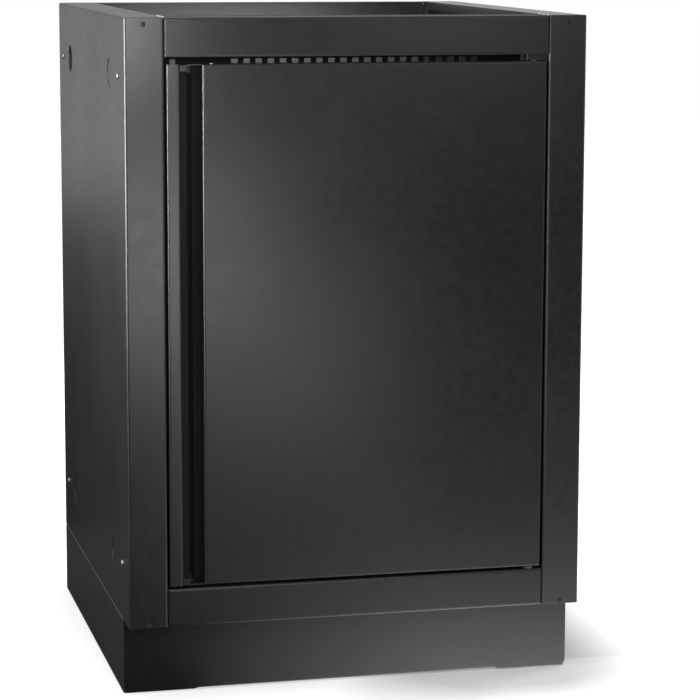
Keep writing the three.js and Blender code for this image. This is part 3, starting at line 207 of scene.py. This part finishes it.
def powder_coat(name, roughness, specular, recess=None, inside=None):
    """Charcoal powder coat. Its colour drifts in slow clouds and a finer mottle; sandy grain and orange
    peel lift the surface, over the slow waves of the rolled sheet; the coat is thinner and a little
    rubbed along every fold and edge, where a normal rounded over a millimetre turns away from the
    flat one, and its colour is paler there, partly wear and partly a painted highlight. Behind the
    depth that recess names the colour is darker, a painted shade, and the surface rougher. In front
    of the depth that inside names, a paler colour on the inner face is painted light."""
    f = Finish(name, COAT, roughness=roughness, specular=specular)
    clouds = f.noise(CLOUDS, 3.0, 0.55)
    mottle = f.noise(MOTTLE, 2.0, 0.5)
    grain = f.noise(GRAIN, 2.0, 0.6)
    peel = f.noise(PEEL, 2.0, 0.4)
    swell = f.noise(SWELL, 1.0, 0.4)
    rounded = f.node("ShaderNodeBevel", {"Radius": EDGE_ROUNDING}, samples=4).outputs["Normal"]
    flat = f.node("ShaderNodeNewGeometry").outputs["Normal"]
    along = f.node("ShaderNodeVectorMath", operation="DOT_PRODUCT")
    f.feed(along.inputs[0], rounded)
    f.feed(along.inputs[1], flat)
    edge = f.ramp(along.outputs["Value"], EDGE_FLAT, EDGE_SHARP, 0.0, 1.0)
    # Rubbed wear and a painted highlight: along folds and edges the colour pales.
    rubbed = f.math("MULTIPLY", edge, f.ramp(mottle, 0.35, 0.65, RUBBED_HIGHLIGHT_LEAST, RUBBED_HIGHLIGHT_MOST))
    amount = f.math("ADD", f.math("MULTIPLY", clouds, 0.55), f.math("MULTIPLY", mottle, 0.45))
    base = f.blend(f.ramp(amount, *TONES, 0.0, 1.0), COAT, COAT_LIGHT)
    base = f.blend(f.ramp(grain, *SPECKS, 0.0, 0.5), base, COAT_GRAIN)
    base = f.blend(rubbed, base, COAT_RUBBED_HIGHLIGHT)
    fine = f.ramp(mottle, *TONES, roughness - MOTTLE_GLOSS, roughness + MOTTLE_GLOSS)
    rough = f.math("ADD", fine, f.ramp(clouds, *TONES, -CLOUD_GLOSS, CLOUD_GLOSS))
    rough = f.math("SUBTRACT", rough, f.math("MULTIPLY", rubbed, RUBBED_GLOSS))
    if recess is not None:
        # Painted shade: behind the recess depth the colour darkens and the roughness rises.
        recess_shade = f.ramp(f.axis("Y"), recess, recess + RECESS_SHADE_FADE, 0.0, 1.0)
        base = f.blend(recess_shade, base, COAT_RECESS_SHADE)
        rough = f.math("MAXIMUM", rough, f.math("MULTIPLY", recess_shade, RECESS_SHADE_ROUGHNESS))
    if inside is not None:
        # Painted light: the inner face takes a paler colour.
        facing_in = f.math("LESS_THAN", f.axis("Y"), inside)
        inside_light = f.math("MULTIPLY", facing_in, f.ramp(clouds, *TONES, INSIDE_LIGHT_LEAST, 1.0))
        base = f.blend(inside_light, base, COAT_INSIDE_LIGHT)
    f.set("Base Color", base)
    f.set("Roughness", rough)
    f.bumps((swell, 0.35, 0.004), (peel, 0.10, 0.0005), (grain, 0.12, 0.0001), start=rounded)
    return f.material


# Patterns of the other finishes, in cells or waves per metre.
SPANGLE, SCRATCHES = 420.0, (900.0, 900.0, 60.0)
PITS, SINK_MARKS = 1400.0, 60.0
BLOOM, RUBBER_SKIN = 140.0, 2200.0
DULL_SPANGLE = 0.72
ZINC = (0.60, 0.61, 0.62)


def plated_steel(name, color=ZINC, roughness=0.30):
    """Zinc plate: blotches of spangle, drawn scratches and a soft grain in its roughness."""
    f = Finish(name, color, metallic=1.0, roughness=roughness)
    spangle = f.node("ShaderNodeSeparateColor", {"Color": f.cells(SPANGLE, "Color")}).outputs["Red"]
    scratch = f.noise(1.0, 3.0, 0.6, f.stretched(SCRATCHES))
    dull = [part * DULL_SPANGLE for part in color]
    wear = f.math("ADD", spangle, scratch)
    f.set("Base Color", f.blend(f.ramp(spangle, 0.0, 1.0, 0.0, 0.45), color, dull))
    f.set("Roughness", f.ramp(wear, 0.3, 1.5, roughness - 0.07, roughness + 0.12))
    f.bumps((scratch, 0.18, 0.00008), (spangle, 0.05, 0.00005))
    return f.material


def moulded_nylon(name, deep=(0.017, 0.017, 0.019), pale=(0.027, 0.027, 0.029), specular=0.4):
    """Matt black moulding with the fine pitting of a spark-eroded tool and slow sink marks."""
    f = Finish(name, deep, roughness=0.55, specular=specular)
    pits = f.cells(PITS, "Distance")
    sink = f.noise(SINK_MARKS, 2.0, 0.5)
    f.set("Base Color", f.blend(f.ramp(sink, *TONES, 0.0, 1.0), deep, pale))
    f.set("Roughness", f.ramp(pits, 0.1, 0.7, 0.62, 0.48))
    f.bumps((sink, 0.08, 0.0008), (pits, 0.25, 0.0001))
    return f.material


def soft_rubber(name, black=(0.010, 0.010, 0.010), bloomed=(0.040, 0.039, 0.038), specular=0.3):
    """Dull rubber: powdery bloom in patches over a fine matt skin."""
    f = Finish(name, black, roughness=0.8, specular=specular)
    bloom = f.noise(BLOOM, 4.0, 0.6)
    skin = f.noise(RUBBER_SKIN, 2.0, 0.6)
    f.set("Base Color", f.blend(f.ramp(bloom, 0.4, 0.75, 0.0, 0.5), black, bloomed))
    f.set("Roughness", f.ramp(bloom, *TONES, 0.72, 0.88))
    f.bumps((skin, 0.3, 0.00008))
    return f.material


# The roughness of the outer coat and of the duller inner one.
SATIN, MATT = 0.36, 0.50
# Behind this depth the front and grip coats carry a painted shade.
CHANNEL_RECESS = FRONT + 0.004
BACK_OUTER_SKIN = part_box("back_panel")[1][1] - 0.0006
# These copies of one coat differ in specular level from part to part, so that some parts reflect more:
# painted light and shade.
front_coat = powder_coat("charcoal_front_coat", SATIN, 0.34, CHANNEL_RECESS)
side_coat = powder_coat("charcoal_side_coat", SATIN, 0.44)
plinth_coat = powder_coat("charcoal_plinth_coat", SATIN - 0.03, 0.5)
grip_coat = powder_coat("charcoal_grip_coat", SATIN, 0.46, CHANNEL_RECESS)
inner_coat = powder_coat("charcoal_inner_coat", MATT, 0.35)
# The back panel's inner face carries painted light.
back_coat = powder_coat("charcoal_back_coat", MATT, 0.35, inside=BACK_OUTER_SKIN)
screw_coat = powder_coat("charcoal_screw_coat", 0.42, 0.20)
bright_zinc = plated_steel("bright_zinc")
dull_steel = plated_steel("dull_steel", (0.16, 0.16, 0.165), 0.45)
# The channel seal's near-black colour is painted shade for the slot in front of it.
slot_shade_seal = soft_rubber("slot_shade_seal", (0.0012, 0.0012, 0.0012), (0.003, 0.003, 0.003), 0.1)
bearing_nylon = moulded_nylon("bearing_nylon", (0.004, 0.004, 0.004), (0.007, 0.007, 0.007), 0.3)

# The finish of each material slot, and the pieces that have a finish of their own instead.
FINISH_OF_SLOT = {
    "powder_coat": powder_coat("charcoal_powder_coat", SATIN, 0.34),
    "zinc_steel": bright_zinc,
    "nylon": moulded_nylon("black_nylon"),
    "rubber": soft_rubber("black_rubber"),
    "magnet_steel": plated_steel("dull_magnet_steel", (0.25, 0.25, 0.27), 0.42),
}
PIECES_WITH_OWN_FINISH = (
    (front_coat, ("header", "bottom_rail", "door_skin", "channel_closer_upper", "channel_closer_lower")),
    (side_coat, ("side_panel_left", "side_panel_right", "rear_top_rail")),
    (plinth_coat, ("plinth_side_left", "plinth_side_right")),
    (grip_coat, ("door_grip",)),
    (back_coat, ("back_panel",)),
    (inner_coat, ("floor_pan", "shelf", "plinth_cross_member", "door_inner_pan", "rear_bottom_rail",
                  "foot_bracket_front_left", "foot_bracket_front_right",
                  "foot_bracket_rear_left", "foot_bracket_rear_right")),
    (screw_coat, ("face_screw_left_lower", "face_screw_left_upper",
                  "face_screw_right_lower", "face_screw_right_upper")),
    (dull_steel, ("door_button", "pivot_pin_upper")),
    (slot_shade_seal, ("channel_seal",)),
    (bearing_nylon, ("pivot_bearing",)),
)
own_finish = {name: finish for finish, names in PIECES_WITH_OWN_FINISH for name in names}
slot_of = {part["node"]: part["material_slot"] for part in frame["record"]["subparts"]}
for name, node in nodes.items():
    finish = own_finish.get(name, FINISH_OF_SLOT[slot_of[name]])
    if not node.material_slots:
        node.data.materials.append(finish)
    for slot in node.material_slots:
        slot.material = finish


SMOOTH_BELOW = math.radians(35.0)


def make_piece(name, points, quads, body, slot, material):
    """One closed skin of grids, which rides on a body: doubled points at seams and poles are merged,
    and every face is turned outwards."""
    mesh = bpy.data.meshes.new(name)
    mesh.from_pydata(points.reshape(-1, 3).tolist(), [], quads.reshape(-1, 4).tolist())
    shell = bmesh.new()
    shell.from_mesh(mesh)
    bmesh.ops.remove_doubles(shell, verts=shell.verts, dist=MERGE)
    bmesh.ops.dissolve_degenerate(shell, edges=shell.edges, dist=MERGE)
    bmesh.ops.recalc_face_normals(shell, faces=shell.faces)
    shell.to_mesh(mesh)
    shell.free()
    piece = bpy.data.objects.new(name, mesh)
    bpy.context.scene.collection.objects.link(piece)
    mesh.materials.append(material)
    mesh.shade_smooth()
    mesh.set_sharp_from_angle(angle=SMOOTH_BELOW)
    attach(piece, body)


def round_steps(sides):
    """The angles of a ring, evenly spaced, without the last one that would double the first."""
    return np.linspace(0, 2 * np.pi, sides, endpoint=False)


def rings(radius, height, angle):
    """Rings about Z, one for each row: (radius cos angle, radius sin angle, height)."""
    height = np.broadcast_to(height, radius.shape)
    return np.stack([radius * np.cos(angle), radius * np.sin(angle), height], -1)


def set_down(local, places, heads):
    """Copies of one skin (rows, columns, 3) with its Z along each heading, at each place."""
    places = np.asarray(places, float)
    z = np.broadcast_to(np.asarray(heads, float), places.shape)
    helper = np.where(np.abs(z[:, 2:]) > 0.9, [[1.0, 0, 0]], [[0, 0, 1.0]])
    x = np.cross(helper, z)
    x /= np.linalg.norm(x, axis=1, keepdims=True)
    y = np.cross(z, x)
    axes = np.stack([x, y, z], 1)
    points = np.einsum("rck,nkj->nrcj", local, axes) + places[:, None, None, :]
    rows, columns = local.shape[:2]
    row, column = np.meshgrid(np.arange(rows - 1), np.arange(columns), indexing="ij")
    beside = (column + 1) % columns
    near, far = row * columns, (row + 1) * columns
    quads = np.stack([near + column, near + beside, far + beside, far + column], -1).reshape(-1, 4)
    shift = (np.arange(len(places)) * rows * columns)[:, None, None]
    return points, quads[None] + shift


# A button-head screw in millimetres. The head runs from the socket's floor to the neck under it, as
# (radius, height), and the socket's lobes are shares of the radius along its wall.
SCREW_HEAD = ((0.0, 0.7), (1.25, 0.8), (1.45, 0.95), (1.5, 2.35), (1.75, 2.45), (2.6, 2.3),
              (3.5, 1.85), (4.2, 1.1), (4.5, 0.35), (4.5, 0.0), (2.3, 0.0))
SOCKET_LOBES = (0.11, 0.11, 0.11, 0.066, 0.011)
LOBES = 6
SHANK = 7.4
CREST, ROOT, TIP = 2.3, 1.95, 1.2
TIP_DROP, TIP_END = 0.8, 0.9
THREADS, THREAD_PITCH = 6, 1.1
SCREW_SIDES = 36


def screw_skin():
    """A button-head screw. The profile runs (radius, height) from the socket's floor, up its wall, over
    the crown, under the head and down a threaded shank to its blunt tip. The socket's radius swells by
    a ninth with the cosine of six times the angle; along the shank the radius is a crest and a root in
    turn, half a pitch apart."""
    start = -SHANK + THREADS * THREAD_PITCH
    radii = [CREST, ROOT] * THREADS
    thread = [(radius, start - THREAD_PITCH * step / 2) for step, radius in enumerate(radii)]
    tip = [(TIP, -SHANK - TIP_DROP), (0.0, -SHANK - TIP_END)]
    profile = np.array([*SCREW_HEAD, (CREST, start + THREAD_PITCH / 2), *thread, *tip]) * MM
    lobed = np.zeros(len(profile))
    lobed[1:1 + len(SOCKET_LOBES)] = SOCKET_LOBES
    angle = round_steps(SCREW_SIDES)
    radius = profile[:, :1] * (1 + lobed[:, None] * np.cos(LOBES * angle))
    return rings(radius, profile[:, 1:], angle)


def screw_group(name, body, places, heads, material=bright_zinc):
    """One piece of equal screws, at places in millimetres, whose heads point along heads."""
    points, quads = set_down(screw_skin(), np.array(places) * MM, heads)
    make_piece(name, points, quads, body, "zinc_steel", material)


def both_sides(half_width, depths, levels):
    """Places at the same distance left and right of the middle."""
    return [(x, y, z) for x in (-half_width, half_width) for y in depths for z in levels]


# Small fasteners, each on the hole that the sheets carry for it, in millimetres.
UP = (0, 0, 1)
REARWARDS = (0, 1, 0)
RAIL_LEVEL, MIDDLE_LEVEL, HEADER_LEVEL = 127, 495.75, 864.5
BACK_FACE = 315

side_places = both_sides(305, (-264, 264), (178, 814))
outwards = [(math.copysign(1, place[0]), 0, 0) for place in side_places]
screw_group("side_screws", "carcass", side_places, outwards, dull_steel)

back_places = both_sides(280, (BACK_FACE,), (RAIL_LEVEL, MIDDLE_LEVEL, HEADER_LEVEL))
back_places += [(0, BACK_FACE, RAIL_LEVEL), (0, BACK_FACE, HEADER_LEVEL)]
screw_group("back_screws", "carcass", back_places, [REARWARDS] * len(back_places))

frame_places = both_sides(251.7, (-300,), (RAIL_LEVEL, HEADER_LEVEL))
inwards = [(-math.copysign(1, place[0]), 0, 0) for place in frame_places]
screw_group("frame_screws", "carcass", frame_places, inwards)

plinth_places = both_sides(285, (-201.6, 0, 201.6), (104,))
screw_group("plinth_screws", "carcass", plinth_places, [UP] * len(plinth_places))

housing_places = [(228, -293, z) for z in (168.1, 182.1, 803.9, 817.9)]
screw_group("housing_screws", "door", housing_places, [REARWARDS] * len(housing_places))

catch_places = [(x, -274.2, 825.5) for x in (-217, -183)]
screw_group("catch_screws", "carcass", catch_places, [REARWARDS] * len(catch_places))


NUT_WIDTH, NUT_BORE, NUT_HEIGHT = 17.0, 5.4, 6.0
NUT_SIDES = 48
BORE_BREAK, RIM_FLAT = 0.6, 1.3
# Shares of the nut's half width: its round faces, and where the chamfer cuts the corners.
FACE_SHARE, CHAMFER_SHARE = 0.97, 1.06


def hexagon_nuts(places):
    """Hexagon nuts: the rim's radius is half the width over the cosine of the angle to the nearest
    flat's middle, cut by a chamfer near both faces; the profile runs round the outside and down the
    bore, and closes on itself."""
    half = NUT_WIDTH / 2
    face = half * FACE_SHARE
    mouth = NUT_BORE + BORE_BREAK
    angle = round_steps(NUT_SIDES)
    sixth = np.pi / 6
    flat = half / np.cos((angle + sixth) % (2 * sixth) - sixth)
    chamfer = np.minimum(flat, half * CHAMFER_SHARE)
    profile = ((mouth, 0), (face, 0), (chamfer, BORE_BREAK), (flat, RIM_FLAT),
               (flat, NUT_HEIGHT - RIM_FLAT), (chamfer, NUT_HEIGHT - BORE_BREAK), (face, NUT_HEIGHT),
               (mouth, NUT_HEIGHT), (NUT_BORE, NUT_HEIGHT - BORE_BREAK), (NUT_BORE, BORE_BREAK),
               (mouth, 0))
    radius = np.stack([np.broadcast_to(value, angle.shape) for value, _ in profile])
    height = np.array([[value] for _, value in profile])
    return set_down(rings(radius, height, angle) * MM, np.array(places) * MM, [UP] * len(places))


nut_places = both_sides(267.7, (-224.1, 245.7), (55.3,))
make_piece("foot_lock_nuts", *hexagon_nuts(nut_places), "carcass", "zinc_steel", bright_zinc)


# Weld beads in millimetres, on the seams between the side flanges and the header.
WELD_WIDTH, WELD_HEIGHT, WELD_SINK = 1.7, 0.8, 0.6
WELD_UNEVEN, WELD_TURN = 0.1, 0.7
WELD_SIDES = 20
TOP = 890.0
SEAM = 253.85
# Along the seam from the front: each bead's place and its share of the full size.
WELDS = ((-309.0, 1.0), (-304.5, 0.7), (-291.0, 0.8), (-287.5, 1.1), (-271.0, 1.2), (-268.0, 0.9))


def weld_beads(places):
    """Welds rubbed bare: a low bead of half-width w and height h, h (1 - t^2)^(1/2) at t times w
    from its middle, whose outline swells and shrinks by a tenth with the sine of three times the
    angle; it goes down into the seam and closes there. Each place is x, y and a scale."""
    part = np.array([0.0, 0.35, 0.65, 0.85, 0.97, 1.0, 0.9, 0.0])
    rise = np.concatenate([WELD_HEIGHT * np.sqrt(1 - part[:6] ** 2), [-WELD_SINK, -WELD_SINK]])
    angle = round_steps(WELD_SIDES)
    radius = WELD_WIDTH * part[:, None] * (1 + WELD_UNEVEN * np.sin(3 * angle + WELD_TURN))
    seats = np.array([(x, y, TOP) for x, y, _ in places]) * MM
    points, quads = set_down(rings(radius, rise[:, None], angle) * MM, seats, [UP] * len(places))
    middle = seats[:, None, None, :]
    scale = np.array([size for _, _, size in places])[:, None, None, None]
    return middle + (points - middle) * scale, quads


weld_places = [(side * SEAM, y, scale) for side in (-1, 1) for y, scale in WELDS]
weld_steel = plated_steel("rubbed_weld_steel", (0.45, 0.45, 0.455), 0.38)
make_piece("corner_welds", *weld_beads(weld_places), "carcass", "powder_coat", weld_steel)


FLOOR_HALF, FLOOR_CELLS = 9, 12
PAPER, PAPER_DARK, PAPER_LIGHT = (0.80,) * 3, (0.79,) * 3, (0.81,) * 3
# The paper's colour under the painted shadow.
SHADED_PAPER = (0.72,) * 3
PAPER_FIBRE = 35.0
PLINTH_HALF, PLINTH_DEEP = 0.254, 0.26
SHADOW_START, SHADOW_REACH = 0.01, 0.20
LEAST_LIFT = 0.13
# The painted shadow deepens to the right front, from its least share to the full one over this stretch.
SHADOW_LEAN_X, SHADOW_LEAN_Y = 0.9, 0.6
SHADOW_STRETCH, LEAST_SHADOW = (0.15, 0.35), 0.3


def studio_floor():
    """A flat sheet eighteen metres square at Z 0. For camera, glossy and transmitted rays a light of its
    own lifts it to the white of the background; round the plinth that lift falls with the square of
    the nearness over SHADOW_REACH, most of all at the right front, and the paper is greyer: a painted
    shadow."""
    edge = np.linspace(-FLOOR_HALF, FLOOR_HALF, FLOOR_CELLS + 1)
    x, y = np.meshgrid(edge, edge, indexing="ij")
    points = np.stack([x, y, np.zeros_like(x)], -1)
    cell = np.arange(FLOOR_CELLS)
    row, column = np.meshgrid(cell * (FLOOR_CELLS + 1), cell, indexing="ij")
    corner = row + column
    beyond = corner + FLOOR_CELLS + 1
    quads = np.stack([corner, beyond, beyond + 1, corner + 1], -1)
    mesh = bpy.data.meshes.new("studio_floor")
    mesh.from_pydata(points.reshape(-1, 3).tolist(), [], quads.reshape(-1, 4).tolist())
    floor = bpy.data.objects.new("studio_floor", mesh)
    bpy.context.scene.collection.objects.link(floor)
    f = Finish("studio_paper", PAPER, roughness=0.9, specular=0.1)
    across, deep = f.axis("X"), f.axis("Y")
    beside = f.math("MAXIMUM", f.math("SUBTRACT", f.math("ABSOLUTE", across), PLINTH_HALF), 0.0)
    past = f.math("MAXIMUM", f.math("SUBTRACT", f.math("ABSOLUTE", deep), PLINTH_DEEP), 0.0)
    gap = f.math("SQRT", f.math("ADD", f.math("POWER", beside, 2.0), f.math("POWER", past, 2.0)))
    near = f.ramp(gap, SHADOW_START, SHADOW_REACH, 1.0, 0.0)
    lean = f.math("MULTIPLY", across, SHADOW_LEAN_X)
    turned = f.math("SUBTRACT", lean, f.math("MULTIPLY", deep, SHADOW_LEAN_Y))
    # Painted shadow: a mask by place round the plinth.
    shadow = f.math("MULTIPLY", near, f.ramp(turned, *SHADOW_STRETCH, LEAST_SHADOW, 1.0))
    fibre = f.noise(PAPER_FIBRE, 3.0, 0.6)
    paper = f.blend(f.ramp(fibre, *TONES, 0.0, 1.0), PAPER_DARK, PAPER_LIGHT)
    f.set("Base Color", f.blend(shadow, paper, SHADED_PAPER))
    open_floor = f.math("POWER", f.math("SUBTRACT", 1.0, shadow), 2.0)
    f.glow(f.math("MULTIPLY", f.seen_rays(), f.math("MAXIMUM", open_floor, LEAST_LIFT)))
    mesh.materials.append(f.material)


def studio_world(level):
    """White where it is seen or mirrored, and at a plain level where it only lights the object."""
    world = bpy.data.worlds.new("studio_world")
    world.use_nodes = True
    bpy.context.scene.world = world
    sky = Wiring(world.node_tree)
    background = sky.tree.nodes["Background"]
    sky.feed(background.inputs["Color"], (1, 1, 1, 1))
    sky.feed(background.inputs["Strength"], sky.ramp(sky.seen_rays(), 0.0, 1.0, level, 1.0))


# Each lamp: its name, place, target, width and height in metres, and watts. The camera doesn't see them.
LAMPS = (
    ("key_left", (-0.3, -0.7, 0.89), (-0.27, -0.3, 0.85), (0.2, 0.2), 1.35),
    ("key_middle", (-0.16, -1.0, 0.52), (-0.11, -0.3, 0.42), (0.28, 0.28), 1.75),
    ("key_right", (0.3, -1.0, 0.95), (0.21, -0.3, 0.76), (0.28, 0.28), 0.6),
    ("key_low", (0.05, -1.0, 0.33), (0.04, -0.3, 0.30), (0.28, 0.28), 0.6),
    ("left_strip", (-1.05, -0.425, 0.90), (-0.3, -0.40, 0.80), (0.15, 0.9), 27.0),
    ("left_fill", (-2.4, -0.7, 0.8), (-0.3, -0.1, 0.5), (1.0, 1.0), 26.0),
    ("back_left", (-1.3, 1.0, 0.4), (-0.3, 0.3, 0.5), (0.4, 0.4), 1.3),
    ("right_fill", (1.4, -0.9, 0.6), (0.0, -0.3, 0.4), (0.4, 0.8), 2.0),
    ("overhead", (0.0, 0.2, 2.3), (0.0, 0.0, 0.9), (0.9, 0.9), 10.0),
    ("back_fill", (0.45, 2.4, 0.42), (0.0, 0.3, 0.42), (0.6, 0.7), 14.0),
    ("right_side_fill", (2.5, 0.9, 1.5), (0.3, 0.0, 0.5), (0.9, 0.9), 20.0),
    ("inside", (0.01, -0.12, 0.80), (0.0, 0.30, 0.84), (0.36, 0.08), 1.35),
)
ONLY_IN_THE_GLOSS = ("left_strip",)


def softbox(name, place, target, size, watts):
    """A rectangular area lamp that faces its target. One that is only in the gloss draws its line along
    the folds without making the coat itself paler than it is written."""
    data = bpy.data.lights.new(name, "AREA")
    data.shape = "RECTANGLE"
    data.size, data.size_y = size
    data.energy = watts
    lamp = bpy.data.objects.new(name, data)
    bpy.context.scene.collection.objects.link(lamp)
    lamp.visible_camera = False
    lamp.visible_diffuse = name not in ONLY_IN_THE_GLOSS
    lamp.location = place
    lamp.rotation_euler = (Vector(target) - Vector(place)).to_track_quat("-Z", "Y").to_euler()


CARD_HEIGHT, GLOW_HEIGHT = 0.0006, 0.0012
CARD_SHADE = 0.02
CARD_WEAVE = 60.0
ONLY_REFLECTIONS = ("camera", "diffuse", "transmission", "volume_scatter", "shadow")


def on_floor(left, right, front, back, height=CARD_HEIGHT):
    """Corners of a card that lies just above the floor."""
    return [(left, front, height), (right, front, height), (right, back, height), (left, back, height)]


def upright(left, right, depth, bottom, top):
    """Corners of a card that stands across the view at one depth."""
    return [(left, depth, bottom), (right, depth, bottom), (right, depth, top), (left, depth, top)]


def card(name, corners, material):
    """A flat sheet of four corners that only reflections meet; it throws no shadow on the floor."""
    mesh = bpy.data.meshes.new(name)
    mesh.from_pydata([Vector(corner) for corner in corners], [], [(0, 1, 2, 3)])
    mesh.materials.append(material)
    sheet = bpy.data.objects.new(name, mesh)
    bpy.context.scene.collection.objects.link(sheet)
    for kind in ONLY_REFLECTIONS:
        setattr(sheet, "visible_" + kind, False)


def reflector(name, corners, cover, fade):
    """Darkens what the satin sheet mirrors, as the black flags of a photographer do; along X its cover
    fades away over the stretch that fade gives."""
    f = Finish(name + "_card", (CARD_SHADE,) * 3, roughness=1.0, specular=0.0)
    weave = f.noise(CARD_WEAVE, 2.0, 0.5)
    f.set("Base Color", f.blend(weave, (CARD_SHADE * 0.95,) * 3, (CARD_SHADE * 1.05,) * 3))
    f.set("Alpha", f.ramp(f.axis("X"), *fade, cover, 0.0) if fade else cover)
    card(name, corners, f.material)


GLOW_LEFT, GLOW_FULL, GLOW_RIGHT, GLOW_FADE = -0.24, 0.16, 0.35, 0.5
GLOW_EDGE, GLOW_REACH = -0.235, 1.3
GLOW_LEVEL, GLOW_COVERED = 4.8, 0.15


def floor_glow():
    """The lit stretch of floor in front of the plinth's right half, as reflections meet it: its light
    rises over X from GLOW_LEFT to GLOW_FULL, sinks again past GLOW_RIGHT, and falls off with the
    distance from the plinth as (1 - t)^2 over GLOW_REACH."""
    start, end = GLOW_EDGE - GLOW_REACH, GLOW_RIGHT + GLOW_FADE
    f = Finish("floor_glow", (0, 0, 0), roughness=1.0, specular=0.0)
    across = f.axis("X")
    rise = f.ramp(across, GLOW_LEFT, GLOW_FULL, 0.0, 1.0)
    sink = f.ramp(across, GLOW_RIGHT, end, 1.0, 0.0)
    ahead = f.math("POWER", f.ramp(f.axis("Y"), start, GLOW_EDGE, 0.0, 1.0), 2.0)
    light = f.math("MULTIPLY", rise, f.math("MULTIPLY", sink, ahead))
    f.glow(f.math("MULTIPLY", light, GLOW_LEVEL))
    f.set("Alpha", f.ramp(light, 0.0, GLOW_COVERED, 0.0, 1.0))
    card("floor_glow", on_floor(GLOW_LEFT, end, start, GLOW_EDGE, GLOW_HEIGHT), f.material)


# Cards that only reflections meet: corners, how much each covers, and where it fades to nothing along
# X. The back scrim is a net that lets most of the white through.
FLAGS = {
    "floor_front_left": (on_floor(-4, 0.45, -5, -0.24), 1.0, (0.0, 0.4)),
    "floor_front_far": (on_floor(-0.1, 5, -5, -1.2), 1.0, None),
    "floor_beside": (on_floor(-0.6, -0.256, -0.24, 0.7), 0.965, None),
    "floor_back_left": (on_floor(-5, -0.6, -0.24, 0.7), 1.0, None),
    "floor_back_far": (on_floor(-5, -0.256, 0.7, 6), 1.0, None),
    "front_wall_low": (upright(-5, 5, -5, -0.5, 1.2), 1.0, None),
    "front_wall_left": (upright(-5, 0.6, -5, 1.2, 5), 1.0, None),
    "back_scrim": (upright(-6, 0.2, 6, -0.5, 1.3), 0.35, None),
    "back_scrim_high": (upright(-6, 1.2, 6, 1.3, 3.2), 0.55, None),
}
WORLD_LEVEL = 0.25

studio_floor()
studio_world(WORLD_LEVEL)
for lamp in LAMPS:
    softbox(*lamp)
for name, flag in FLAGS.items():
    reflector(name, *flag)
floor_glow()

bpy.context.scene.view_settings.view_transform = "Standard"
